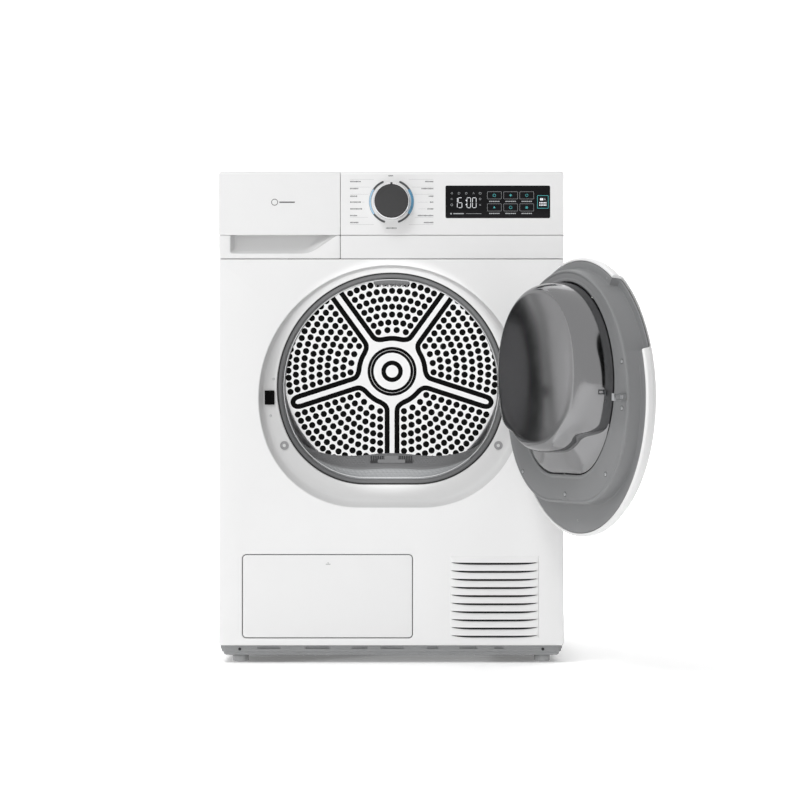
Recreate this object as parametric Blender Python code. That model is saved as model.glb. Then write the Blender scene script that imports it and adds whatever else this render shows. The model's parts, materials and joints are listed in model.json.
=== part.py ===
"""A free-standing heat pump clothes dryer, with its door standing open.

Metres, +Z up. Pieces are modelled from the cabinet's front face: X to the right, Y from the front
face towards the back, Z from the floor. One empty, cabinet_frame, carries that frame to the row
frame, whose origin is on the floor at the middle of the whole footprint, open door included.
"""

import math

import bmesh
import bpy
from mathutils import Matrix, Vector

# Cabinet
WIDTH = 0.595
HEIGHT = 0.850
DEPTH = 0.562
SHEET = 0.0012
PLASTIC = 0.0025
GAP = 0.0003
FRAME_X = -0.0601
FRAME_Y = -0.0608

# Heights of the front's horizontal lines
TRAY_BOTTOM_Z = 0.012
PANEL_BOTTOM_Z = 0.0304
PANEL_TOP_Z = 0.6970
FASCIA_BOTTOM_Z = 0.6978
FASCIA_STEP_Z = 0.7378
FASCIA_TOP_Z = 0.8460

# Depths of the layers behind the front face
PAN_DEPTH_Y = 0.012
REAR_Y = 0.538
FASCIA_FRONT_Y = -0.006

# Door opening and its recess: rounded discs with a flat bottom, (radius, flat, corner, centre height)
RECESS_EDGE = (0.2285, 0.1890, 0.170, 0.4575)
OPENING = (0.1985, 0.1690, 0.150, 0.4762)
TUBE_FRONT, TUBE_Y0 = (0.1975, 0.1680, 0.150, 0.4762), 0.0345
TUBE_BACK, TUBE_Y1 = (0.1880, 0.1690, 0.150, 0.4782), 0.0880
RECESS_FLOOR_SHARE = 0.30
RECESS_WALL_Y = 0.0245
RECESS_FLOOR_Y = 0.027
OUTLINE_POINTS = 36

# Door, in its closed place
DOOR_Z = 0.4585
DOOR_RADIUS = 0.2300
DOOR_OPEN_DEG = 115.0
HINGE_X = 0.2255
HINGE_Y = -0.016
HINGE_PIN_R = 0.0035
LUG_Z = 0.050
LUG_HEIGHT = 0.012
PLATEAU = (0.2095, 0.1740, 0.155, DOOR_Z)
PLATEAU_Y = 0.0235
BOWL_BASE = (0.1650, 0.1490, 0.100, 0.4820)
BOWL_Y = 0.0745

# Drum
DRUM_Z = 0.508
DRUM_R = 0.280
DRUM_FRONT_Y = 0.095
DRUM_REAR_Y = 0.500
DRUM_BACK_Y = 0.482
DRUM_BACK_R = 0.208
ROLLER_R = 0.022
ROLLER_ANGLE_DEG = 30.0

# Motor, belt and blower
MOTOR_X, MOTOR_Z = 0.180, 0.135
MOTOR_R = 0.060
PULLEY_R = 0.009
BELT_THICK = 0.002
BELT_Y0, BELT_Y1 = 0.300, 0.310
BELT_ARC_POINTS = 36
WHEEL_R = 0.018

# Tank drawer, flap, louvres, knob and display
DRAWER_RIGHT_X = -0.0882
FLAP_LOW, FLAP_HIGH = (-0.2571, 0.0428), (0.0371, 0.1875)
FLAP_AXIS_Y, FLAP_AXIS_Z = 0.006, 0.0503
LOUVRE_X0, LOUVRE_X1 = 0.1012, 0.2546
LOUVRE_TOP_Z, LOUVRE_PITCH, LOUVRES = 0.1733, 0.01397, 10
KNOB_X, KNOB_Z, KNOB_R = 0.0003, 0.7956, 0.0315
DISPLAY_LOW, DISPLAY_HIGH = (0.0933, 0.7670), (0.2737, 0.8232)
FAN_X, FAN_Z, FAN_R = 0.178, 0.118, 0.050
FOOT_X, FOOT_FRONT_Y, FOOT_REAR_Y = 0.262, 0.045, 0.505

WHITE = ("white_enamel", (0.90, 0.90, 0.91), 0.35, 0.0)
WHITE_PLASTIC = ("white_plastic", (0.88, 0.88, 0.89), 0.40, 0.0)
LIGHT_GREY = ("light_grey_plastic", (0.62, 0.63, 0.64), 0.50, 0.0)
GREY = ("grey_plastic", (0.36, 0.37, 0.38), 0.50, 0.0)
BLACK = ("black_plastic", (0.02, 0.02, 0.022), 0.40, 0.0)
GLASS = ("black_glass", (0.01, 0.01, 0.012), 0.08, 0.0)
MIRROR = ("smoked_mirror", (0.42, 0.42, 0.43), 0.12, 1.0)
STEEL = ("stainless_steel", (0.72, 0.72, 0.73), 0.28, 1.0)
ZINC = ("zinc_steel", (0.55, 0.56, 0.57), 0.45, 1.0)
ALUMINIUM = ("aluminium", (0.77, 0.78, 0.79), 0.35, 1.0)
DARK_KNOB = ("dark_knob", (0.06, 0.06, 0.062), 0.35, 0.3)
SILVER = ("silver_rim", (0.80, 0.80, 0.81), 0.22, 1.0)
BLUE_LIGHT = ("blue_light_guide", (0.25, 0.50, 0.70), 0.30, 0.0)
RUBBER = ("rubber", (0.05, 0.05, 0.05), 0.80, 0.0)
FELT = ("felt", (0.30, 0.29, 0.28), 0.95, 0.0)
BLACK_METAL = ("black_painted_steel", (0.03, 0.03, 0.03), 0.45, 0.5)


# ---------------------------------------------------------------- tools


def clear_scene():
    """Removes what the startup scene holds."""
    for obj in list(bpy.data.objects):
        bpy.data.objects.remove(obj)


def material(finish):
    """The Principled material of a finish (name, colour, roughness, metallic), made once."""
    name, colour, roughness, metallic = finish
    found = bpy.data.materials.get(name)
    if found:
        return found
    made = bpy.data.materials.new(name)
    made.use_nodes = True
    shader = made.node_tree.nodes["Principled BSDF"]
    shader.inputs["Base Color"].default_value = (*colour, 1.0)
    shader.inputs["Roughness"].default_value = roughness
    shader.inputs["Metallic"].default_value = metallic
    return made


def empty(name, location, parent=None, turn_deg=0.0):
    """An empty on a joint's axis, turned about Z."""
    made = bpy.data.objects.new(name, None)
    bpy.context.scene.collection.objects.link(made)
    made.parent = parent
    made.location = location
    made.rotation_euler = (0.0, 0.0, math.radians(turn_deg))
    return made


def piece(name, bm, finish, parent, smooth=True):
    """A named object from a bmesh. Its points are in the cabinet's frame, less where its parent is."""
    bmesh.ops.recalc_face_normals(bm, faces=bm.faces)
    mesh = bpy.data.meshes.new(name)
    bm.to_mesh(mesh)
    bm.free()
    if smooth:
        mesh.shade_smooth()
        mesh.set_sharp_from_angle(angle=math.radians(35))
    made = bpy.data.objects.new(name, mesh)
    bpy.context.scene.collection.objects.link(made)
    mesh.materials.append(material(finish))
    made.parent = parent
    if parent is not CABINET:
        made.location = -parent.location
    return made


def block(low, high):
    """A box between two corners."""
    bm = bmesh.new()
    bmesh.ops.create_cube(bm, size=1.0)
    low, high = Vector(low), Vector(high)
    size, middle = high - low, (high + low) / 2
    bmesh.ops.scale(bm, vec=size, verts=bm.verts)
    bmesh.ops.translate(bm, vec=middle, verts=bm.verts)
    return bm


def blocks(pairs):
    """Several boxes in one mesh, for a cutter."""
    bm = bmesh.new()
    for low, high in pairs:
        one = block(low, high)
        add(bm, one)
    return bm


def add(bm, other):
    """Adds a second bmesh's faces to the first, and frees the second."""
    mesh = bpy.data.meshes.new("added")
    other.to_mesh(mesh)
    other.free()
    bm.from_mesh(mesh)
    bpy.data.meshes.remove(mesh)


def rounded_block(low, high, radius, axis, segments=3):
    """A box whose edges along one axis are rounded."""
    bm = block(low, high)
    wanted = [
        e for e in bm.edges
        if abs((e.verts[0].co - e.verts[1].co).normalized()[axis]) > 0.9
    ]
    bmesh.ops.bevel(bm, geom=wanted, offset=radius, segments=segments, affect="EDGES", profile=0.5)
    return bm


def lofted(rings, looped=False):
    """A skin over rings of points. Looped, the last ring joins the first; otherwise the ends are capped."""
    bm = bmesh.new()
    made = [[bm.verts.new(p) for p in ring] for ring in rings]
    count = len(made[0])
    pairs = list(zip(made, made[1:]))
    if looped:
        pairs.append((made[-1], made[0]))
    for first, second in pairs:
        for i in range(count):
            j = (i + 1) % count
            bm.faces.new((first[i], first[j], second[j], second[i]))
    if not looped:
        bm.faces.new(made[0])
        bm.faces.new(made[-1])
    return bm


def extruded(outline, start, end, axis):
    """A prism: an outline of two coordinates, carried along X, Y or Z from start to end."""
    def point(p, depth):
        return {0: (depth, p[0], p[1]), 1: (p[0], depth, p[1]), 2: (p[0], p[1], depth)}[axis]

    return lofted([[point(p, start) for p in outline], [point(p, end) for p in outline]])


def circle(radius, count, centre=(0.0, 0.0), phase=0.0):
    """Points of a circle, two coordinates each."""
    turns = [2 * math.pi * (i + phase) / count for i in range(count)]
    return [(centre[0] + radius * math.cos(a), centre[1] + radius * math.sin(a)) for a in turns]


def turned(profile, centre, steps, axis=1, solid=False):
    """A turned piece. Profile points are (radius, place along the axis); solid closes it on the axis."""
    def ring(radius, along):
        around = circle(radius, steps, centre, 0.5)
        return [{1: (p[0], along, p[1]), 2: (p[0], p[1], along), 0: (along, p[0], p[1])}[axis]
                for p in around]

    return lofted([ring(r, y) for r, y in profile], looped=not solid)


def flat_disc_radius(angle, shape):
    """Distance from the centre of a disc with a flat bottom to its edge, at an angle from +X."""
    radius, flat, corner, _ = shape
    corner_z = corner - flat
    corner_x = math.sqrt((radius - corner) ** 2 - corner_z ** 2)
    tangent = math.atan2(corner_z, corner_x)
    turn = math.atan2(math.sin(angle), abs(math.cos(angle)))
    if turn >= tangent:
        return radius
    flat_from = math.atan2(-flat, corner_x)
    if turn <= flat_from:
        return -flat / math.sin(turn)
    along = abs(math.cos(turn)) * corner_x + math.sin(turn) * corner_z
    return along + math.sqrt(along ** 2 - (radius - corner) ** 2 + corner ** 2)


def flat_disc(shape, y, grow=0.0, count=OUTLINE_POINTS):
    """Points of a disc with a flat bottom at a depth y, grown outwards by a margin."""
    radius, flat, corner, height = shape
    grown = (radius + grow, flat + grow, corner + grow, height)
    angles = [2 * math.pi * (i + 0.5) / count for i in range(count)]
    return [
        (flat_disc_radius(a, grown) * math.cos(a), y,
         height + flat_disc_radius(a, grown) * math.sin(a))
        for a in angles
    ]


def between(first, second, share, y):
    """A ring of points part of the way from one ring to another, at a depth y."""
    return [
        (p[0] + (q[0] - p[0]) * share, y, p[2] + (q[2] - p[2]) * share)
        for p, q in zip(first, second)
    ]


def moved(ring, y):
    """The same ring at another depth."""
    return [(p[0], y, p[2]) for p in ring]


def cut(obj, bm, operation="DIFFERENCE"):
    """Cuts a bmesh out of an object, or joins it on. Both are in the cabinet's frame."""
    bmesh.ops.recalc_face_normals(bm, faces=bm.faces)
    mesh = bpy.data.meshes.new(obj.name + "_tool")
    bm.to_mesh(mesh)
    bm.free()
    tool = bpy.data.objects.new(f"{obj.name}_tool_{len(obj.modifiers)}", mesh)
    bpy.context.scene.collection.objects.link(tool)
    tool.parent = obj.parent
    tool.location = obj.location
    tool.hide_render = True
    tool.display_type = "WIRE"
    boolean = obj.modifiers.new(tool.name, "BOOLEAN")
    boolean.operation = operation
    boolean.solver = "EXACT"
    boolean.object = tool


def rod(radius, start, end, centre, axis, steps=16):
    """A cylinder along an axis, from start to end, about a centre of two coordinates."""
    return turned([(radius, start), (radius, end)], centre, steps, axis, solid=True)


# ---------------------------------------------------------------- cabinet


def make_base():
    """The moulded tray that everything stands on, open at the top, with a hole for each foot's stem."""
    half, floor, wall = 0.285, 0.008, 0.004
    tray = piece("base_tray", rounded_block((-half, 0.0125, TRAY_BOTTOM_Z), (half, REAR_Y - 0.002, 0.060),
                                            0.012, 2), GREY, CABINET)
    cut(tray, rounded_block((-0.2925, 0.0132, TRAY_BOTTOM_Z + 0.003), (0.2925, REAR_Y - 0.003, 0.0296), 0.010, 2),
        "UNION")
    cut(tray, block((-half + wall, 0.0165, TRAY_BOTTOM_Z + floor), (half - wall, REAR_Y - 0.006, 0.080)))
    for x in (-FOOT_X, FOOT_X):
        for y in (FOOT_FRONT_Y, FOOT_REAR_Y):
            cut(tray, rod(0.0054, -0.01, 0.05, (x, y), 2))


def make_feet():
    """Four screw feet: a ribbed pad on a threaded stem. Each slides on its own axis."""
    places = {
        "foot_front_left": (-FOOT_X, FOOT_FRONT_Y), "foot_front_right": (FOOT_X, FOOT_FRONT_Y),
        "foot_rear_left": (-FOOT_X, FOOT_REAR_Y), "foot_rear_right": (FOOT_X, FOOT_REAR_Y),
    }
    for name, (x, y) in places.items():
        axis = empty(name + "_axis", (x, y, 0.0), CABINET)
        profile = [(0.0125, 0.0), (0.0140, 0.0015), (0.0140, 0.0115), (0.0050, 0.0115), (0.0050, 0.0340)]
        piece(name, turned(profile, (x, y), 14, 2, solid=True), LIGHT_GREY, axis)


def make_side(name, side):
    """A side panel: a sheet with folded edges at front and back, and a shallow pressed field."""
    face, fold, back = side * WIDTH / 2, 0.012, REAR_Y - GAP
    inner, lip = face - side * SHEET, face - side * fold
    front = PAN_DEPTH_Y + GAP
    outline = [(face, front), (face, back), (lip, back), (lip, back - SHEET), (inner, back - SHEET),
               (inner, front + SHEET), (lip, front + SHEET), (lip, front)]
    panel = piece(name, extruded(outline, PANEL_BOTTOM_Z, 0.8310, 2), WHITE, CABINET)
    field_y, field_z, rise, slope = (0.090, 0.470), (0.354, 0.598), 0.0030, 0.010

    def field(x, margin):
        return [(x, field_y[0] - margin, field_z[0] - margin), (x, field_y[1] + margin, field_z[0] - margin),
                (x, field_y[1] + margin, field_z[1] + margin), (x, field_y[0] - margin, field_z[1] + margin)]

    root = face - side * SHEET / 2
    cut(panel, lofted([field(root, slope), field(face + side * rise, 0.0)]), "UNION")
    cut(panel, lofted([field(face - side * 2 * SHEET, slope), field(face + side * (rise - SHEET), -0.0005)]))


def make_rear():
    """The rear sheet with air holes round the bearing, and the duct cover over them."""
    half = WIDTH / 2 - 0.0005
    panel = piece("rear_panel", block((-half, REAR_Y, PANEL_BOTTOM_Z), (half, REAR_Y + SHEET, 0.8310)),
                  WHITE, CABINET)
    holes = bmesh.new()
    ring_r, hole_r, count = 0.110, 0.034, 6
    for i in range(count):
        a = 2 * math.pi * i / count
        add(holes, rod(hole_r, REAR_Y - 0.01, REAR_Y + 0.01,
                       (ring_r * math.cos(a), DRUM_Z + ring_r * math.sin(a)), 1, 12))
    add(holes, rod(0.022, REAR_Y - 0.01, REAR_Y + 0.01, (0.0, DRUM_Z), 1))
    add(holes, rod(0.035, REAR_Y - 0.01, REAR_Y + 0.01, (MOTOR_X, MOTOR_Z), 1))
    add(holes, rod(0.0083, REAR_Y - 0.01, REAR_Y + 0.01, (-0.250, 0.780), 1))
    cut(panel, holes)

    start, wall = REAR_Y + SHEET + GAP, 0.0015
    outline = [(0.175, 0.055), (0.240, 0.055), (0.255, 0.150), (0.190, 0.400), (0.150, 0.640), (0.070, 0.690),
               (-0.070, 0.690), (-0.150, 0.640), (-0.180, 0.508), (-0.150, 0.375), (-0.060, 0.310),
               (0.060, 0.240), (0.105, 0.150)]
    middle = (0.040, 0.400)

    def shape(y, share):
        return [(middle[0] + (x - middle[0]) * share, y, middle[1] + (z - middle[1]) * share)
                for x, z in outline]

    duct = piece("rear_duct_cover", lofted([shape(start, 1.0), shape(start + wall, 1.0), shape(DEPTH, 0.955)]),
                 ZINC, CABINET)
    cut(duct, lofted([shape(start - 0.002, 0.965), shape(DEPTH - wall, 0.94)]))


def make_worktop():
    """The top board, with its edge rounded all round."""
    half = WIDTH / 2
    top = piece("worktop", rounded_block((-half, 0.0121, 0.8315), (half, REAR_Y + 0.010, HEIGHT), 0.006, 2),
                WHITE_PLASTIC, CABINET)
    soften = top.modifiers.new("edge", "BEVEL")
    soften.width, soften.segments = 0.0025, 2
    soften.limit_method, soften.angle_limit = "ANGLE", math.radians(60)


def make_front_panel():
    """The front sheet: a shallow pan with the door's hole, the flap's hole and ten pressed louvres."""
    half = WIDTH / 2
    panel = piece("front_panel", rounded_block((-half, 0.0, PANEL_BOTTOM_Z), (half, PAN_DEPTH_Y, PANEL_TOP_Z),
                                               0.003, 2), WHITE, CABINET)
    cut(panel, block((-half + SHEET, SHEET, PANEL_BOTTOM_Z + SHEET), (half - SHEET, 0.030, PANEL_TOP_Z - SHEET)))
    cut(panel, lofted([flat_disc(RECESS_EDGE, -0.01), flat_disc(RECESS_EDGE, 0.03)]))
    (x0, z0), (x1, z1) = FLAP_LOW, FLAP_HIGH
    cut(panel, rounded_block((x0, -0.01, z0), (x1, 0.010, z1), 0.0045, 1))

    hoods, slots = bmesh.new(), bmesh.new()
    rise, slot, taper = 0.0035, 0.0040, 0.014
    for i in range(LOUVRES):
        z = LOUVRE_TOP_Z - i * LOUVRE_PITCH
        top = z + 0.0105
        hood = lofted([
            [(LOUVRE_X0, 0.0006, top), (LOUVRE_X1, 0.0006, top), (LOUVRE_X1, 0.0006, z), (LOUVRE_X0, 0.0006, z)],
            [(LOUVRE_X0 + taper, -0.0003, top - 0.002), (LOUVRE_X1 - taper, -0.0003, top - 0.002),
             (LOUVRE_X1 - taper, -rise, z), (LOUVRE_X0 + taper, -rise, z)],
        ])
        add(hoods, hood)
        add(slots, lofted([
            [(LOUVRE_X0 + 0.012, 0.010, z + slot), (LOUVRE_X1 - 0.012, 0.010, z + slot),
             (LOUVRE_X1 - 0.012, 0.010, z - 0.0008), (LOUVRE_X0 + 0.012, 0.010, z - 0.0008)],
            [(LOUVRE_X0 + taper + 0.001, -rise + 0.0012, z + 0.0006),
             (LOUVRE_X1 - taper - 0.001, -rise + 0.0012, z + 0.0006),
             (LOUVRE_X1 - taper - 0.001, -rise + 0.0012, z - 0.0008),
             (LOUVRE_X0 + taper + 0.001, -rise + 0.0012, z - 0.0008)],
        ]))
    cut(panel, hoods, "UNION")
    cut(panel, slots)


def fascia_outline(inset=0.0):
    """The front's cross-section above the step line and below it, as (y, z)."""
    back = 0.0118
    return [
        (back + inset, FASCIA_BOTTOM_Z + inset), (-0.0010 + inset, FASCIA_BOTTOM_Z + inset),
        (-0.0050 + inset, FASCIA_STEP_Z - 0.0006), (FASCIA_FRONT_Y + inset, FASCIA_STEP_Z + 0.0006),
        (FASCIA_FRONT_Y + inset, FASCIA_TOP_Z - 0.0030), (FASCIA_FRONT_Y + 0.0030 + inset, FASCIA_TOP_Z - inset),
        (back + inset, FASCIA_TOP_Z - inset),
    ]


def make_fascia():
    """The control panel's moulding, its display window and the light ring round the knob."""
    left, right = DRAWER_RIGHT_X + 0.0008, WIDTH / 2
    fascia = piece("control_fascia", extruded(fascia_outline(), left, right, 0), WHITE_PLASTIC, CABINET)
    cut(fascia, extruded(fascia_outline(PLASTIC), left + PLASTIC, right - PLASTIC, 0))
    (x0, z0), (x1, z1) = DISPLAY_LOW, DISPLAY_HIGH
    cut(fascia, rounded_block((x0 - GAP, -0.02, z0 - GAP), (x1 + GAP, 0.008, z1 + GAP), 0.0026, 1))
    cut(fascia, rod(0.0060, -0.02, 0.01, (KNOB_X, KNOB_Z), 1))
    piece("display_window", rounded_block((x0, FASCIA_FRONT_Y - 0.0004, z0), (x1, -0.0029, z1), 0.0025, 1),
          GLASS, CABINET)
    ring = [(0.0345, -0.0078), (0.0390, -0.0074), (0.0390, FASCIA_FRONT_Y - GAP),
            (0.0345, FASCIA_FRONT_Y - GAP)]
    piece("selector_light_ring", turned(ring, (KNOB_X, KNOB_Z), 32), BLUE_LIGHT, CABINET)


def make_knob():
    """The programme knob: a bright rim on a shaft and a dark cap let into it."""
    axis = empty("knob_axis", (KNOB_X, 0.0, KNOB_Z), CABINET)
    centre = (KNOB_X, KNOB_Z)
    rim = [(KNOB_R, -0.0066), (KNOB_R, -0.0235), (0.0308, -0.0255), (0.0288, -0.0255), (0.0286, -0.0220),
           (0.0010, -0.0220), (0.0010, -0.0190), (0.0285, -0.0190), (0.0285, -0.0066)]
    knob = piece("knob_rim", turned(rim, centre, 28), SILVER, axis)
    cut(knob, rod(0.0050, -0.0205, 0.0040, centre, 1), "UNION")
    cap = [(0.0283, -0.0223), (0.0283, -0.0262), (0.0262, -0.0275)]
    piece("knob_cap", turned(cap, centre, 28, solid=True), DARK_KNOB, axis)


# ---------------------------------------------------------------- tank drawer and service flap


def make_tank():
    """The water tank: a tub under the worktop, and the drawer front with its finger scoop."""
    axis = empty("tank_axis", (-0.19, 0.0, 0.79), CABINET)
    left, right = -WIDTH / 2, DRAWER_RIGHT_X
    front = piece("tank_front", extruded(fascia_outline(), left, right, 0), WHITE_PLASTIC, axis)
    cut(front, extruded(fascia_outline(PLASTIC), left + PLASTIC, right - PLASTIC, 0))
    scoop = [(-0.2780, FASCIA_STEP_Z), (-0.2780, 0.7095), (-0.2745, 0.7060), (-0.1420, 0.7060),
             (-0.1350, 0.7085), (-0.0905, FASCIA_STEP_Z)]
    wall = [(-0.2803, FASCIA_STEP_Z + 0.0120), (-0.2803, 0.7085), (-0.2755, 0.7037), (-0.1410, 0.7037),
            (-0.1335, 0.7065), (-0.0950, 0.7310), (-0.0912, FASCIA_STEP_Z + 0.0120)]
    cut(front, extruded(wall, -0.0020, 0.0117, 1), "UNION")
    cut(front, lofted([[(x, -0.02, z) for x, z in scoop],
                       [(x * 0.93 - 0.0125, 0.0095, z * 0.90 + 0.0735) for x, z in scoop]]))
    hidden = [(-0.2700, FASCIA_STEP_Z - 0.004), (-0.1050, FASCIA_STEP_Z - 0.004),
              (-0.1050, FASCIA_STEP_Z + 0.009), (-0.2700, FASCIA_STEP_Z + 0.009)]
    cut(front, extruded(hidden, -0.0035, 0.0095, 1))

    tub = [(-0.2850, 0.8260), (-0.2850, 0.7180), (-0.2250, 0.7260), (-0.1750, 0.7520), (-0.1000, 0.7890),
           (-0.1000, 0.8260)]
    inner = [(-0.2825, 0.8400), (-0.2825, 0.7210), (-0.2258, 0.7287), (-0.1765, 0.7545), (-0.1025, 0.7908),
             (-0.1025, 0.8400)]
    tank = piece("water_tank", extruded(tub, 0.0121, 0.4700, 1), LIGHT_GREY, axis)
    cut(tank, extruded(inner, 0.0146, 0.4675, 1))


def make_flap():
    """The service flap with its two hinge ears, on an axis along X near its lower edge."""
    axis = empty("flap_axis", (-0.11, FLAP_AXIS_Y, FLAP_AXIS_Z), CABINET)
    (x0, z0), (x1, z1) = FLAP_LOW, FLAP_HIGH
    flap = piece("service_flap", rounded_block((x0 + 0.0008, 0.0, z0 + 0.0014), (x1 - 0.0008, PLASTIC, z1 - 0.0008),
                                               0.0065, 1), WHITE_PLASTIC, axis)
    for x in (x0 + 0.030, x1 - 0.030):
        cut(flap, block((x - 0.006, 0.0010, FLAP_AXIS_Z - 0.003), (x + 0.006, 0.0090, FLAP_AXIS_Z + 0.004)),
            "UNION")
    cut(flap, block((-0.125, 0.0010, z1 - 0.014), (-0.095, 0.0080, z1 - 0.009)), "UNION")


def make_exchanger():
    """Behind the flap: the exchanger's cover with two turning levers, then two finned blocks."""
    cover = piece("exchanger_cover", rounded_block((-0.245, 0.024, 0.052), (0.020, 0.028, 0.180), 0.010, 1),
                  LIGHT_GREY, CABINET)
    cut(cover, rounded_block((-0.225, 0.0265, 0.070), (0.000, 0.036, 0.162), 0.008, 1), "UNION")
    for name, x in (("cover_lever_left", -0.215), ("cover_lever_right", -0.010)):
        cut(cover, rod(0.0034, 0.010, 0.050, (x, 0.116), 1, 12))
        axis = empty(name + "_axis", (x, 0.020, 0.116), CABINET)
        lever = piece(name, rounded_block((x - 0.007, 0.0165, 0.096), (x + 0.007, 0.0235, 0.136), 0.005, 1),
                      GREY, axis)
        cut(lever, rod(0.0030, 0.0200, 0.0300, (x, 0.116), 1, 12), "UNION")
    for name, y0, y1 in (("evaporator", 0.060, 0.190), ("condenser", 0.215, 0.405)):
        fins, pitch, root, top = 12, 0.019, 0.060, 0.180
        outline = [(-0.235, 0.030), (-0.235 + (fins - 1) * pitch + 0.006, 0.030)]
        for i in reversed(range(fins)):
            x = -0.235 + i * pitch
            outline += [(x + 0.006, top), (x, top)]
            if i:
                outline += [(x, root), (x - pitch + 0.006, root)]
        piece(name, extruded(outline, y0, y1, 1), ALUMINIUM, CABINET)


def make_compressor_bay():
    """The compressor, and the cooling fan with its square shroud behind the louvres."""
    dome = [(0.020, 0.024), (0.052, 0.030), (0.057, 0.050), (0.057, 0.165), (0.048, 0.186), (0.020, 0.196)]
    piece("compressor", turned(dome, (0.165, 0.170), 18, 2, solid=True), BLACK_METAL, CABINET)
    half = 0.058
    shroud = piece("fan_shroud", rounded_block((FAN_X - half, 0.028, FAN_Z - half), (FAN_X + half, 0.052, FAN_Z + half),
                                               0.008, 1), BLACK, CABINET)
    cut(shroud, rod(FAN_R + 0.003, 0.02, 0.06, (FAN_X, FAN_Z), 1, 24))
    cut(shroud, block((FAN_X - half + 0.004, 0.047, FAN_Z - 0.004), (FAN_X + half - 0.004, 0.051, FAN_Z + 0.004)),
        "UNION")
    axis = empty("fan_axis", (FAN_X, 0.038, FAN_Z), CABINET)
    fan = piece("cooling_fan", rod(0.017, 0.031, 0.0455, (FAN_X, FAN_Z), 1, 16), BLACK, axis)
    blades = bmesh.new()
    for i in range(5):
        vane = block((0.012, -0.0010, -0.012), (FAN_R, 0.0010, 0.012))
        turn = Matrix.Rotation(math.radians(28), 4, "X")
        around = Matrix.Rotation(2 * math.pi * i / 5, 4, "Y")
        bmesh.ops.transform(vane, matrix=Matrix.Translation((FAN_X, 0.038, FAN_Z)) @ around @ turn, verts=vane.verts)
        add(blades, vane)
    cut(fan, blades, "UNION")


# ---------------------------------------------------------------- opening, bulkhead and filter


def make_recess():
    """The dished surround of the opening, with slots for the latch and the two hinge lugs."""
    edge, mouth = flat_disc(RECESS_EDGE, 0.0016), flat_disc(OPENING, RECESS_FLOOR_Y)
    lip = flat_disc(RECESS_EDGE, 0.0016, 0.008)
    foot = between(edge, mouth, RECESS_FLOOR_SHARE, RECESS_WALL_Y)
    wall = between(edge, mouth, 0.16, 0.0150)
    thick = 0.0025
    rings = [lip, flat_disc(RECESS_EDGE, 0.0016, 0.0002), wall, foot, mouth, flat_disc(OPENING, 0.0340),
             flat_disc(OPENING, 0.0340, thick), flat_disc(OPENING, RECESS_FLOOR_Y + thick, thick),
             between(edge, mouth, 0.22, RECESS_WALL_Y + thick), between(edge, mouth, 0.04, 0.0160),
             moved(flat_disc(RECESS_EDGE, 0.0, 0.0015), 0.0041), moved(lip, 0.0041)]
    recess = piece("door_recess", lofted(rings, looped=True), WHITE_PLASTIC, CABINET)
    cut(recess, block((-0.2190, 0.010, 0.4460), (-0.2030, 0.040, 0.4700)))
    for side in (-1, 1):
        z = DOOR_Z + side * LUG_Z
        reach = LUG_HEIGHT / 2 + 0.0015
        cut(recess, block((0.2060, -0.005, z - reach), (0.2180, 0.040, z + reach)))


def make_recess_fittings():
    """The catch behind the latch slot, two rubber bumpers, and the hinge bracket with its lugs."""
    catch = piece("latch_catch", rounded_block((-0.2250, 0.0300, 0.4400), (-0.2013, 0.0620, 0.4760), 0.003, 1),
                  BLACK, CABINET)
    cut(catch, block((-0.2185, 0.0200, 0.4470), (-0.2036, 0.0560, 0.4690)))
    for name, side in (("recess_bumper_left", -1), ("recess_bumper_right", 1)):
        dome = [(0.0072, 0.0248), (0.0072, 0.0241), (0.0062, 0.0238)]
        piece(name, turned(dome, (side * 0.1855, 0.3750), 16, solid=True), RUBBER, CABINET)

    plate_y, reach = 0.0375, LUG_Z + 0.018
    bracket = piece("hinge_bracket", rounded_block((0.2030, plate_y, DOOR_Z - reach),
                                                   (0.2240, plate_y + 0.003, DOOR_Z + reach), 0.004, 1),
                    ZINC, CABINET)
    for side in (-1, 1):
        z = DOOR_Z + side * LUG_Z
        low, high = z - LUG_HEIGHT / 2, z + LUG_HEIGHT / 2
        outline = [(0.2165, plate_y + 0.001), (0.2165, -0.0030), (HINGE_X + 0.0050, -0.0110),
                   (HINGE_X + 0.0050, HINGE_Y)]
        outline += [(HINGE_X + 0.005 * math.cos(a), HINGE_Y - 0.005 * math.sin(a))
                    for a in (math.pi / 4, math.pi / 2, 3 * math.pi / 4)]
        outline += [(HINGE_X - 0.0050, HINGE_Y), (0.2075, -0.0060), (0.2075, plate_y + 0.001)]
        cut(bracket, extruded(outline, low, high, 2), "UNION")
        cut(bracket, rod(HINGE_PIN_R + GAP, low - 0.001, high + 0.001, (HINGE_X, HINGE_Y), 2))


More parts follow.
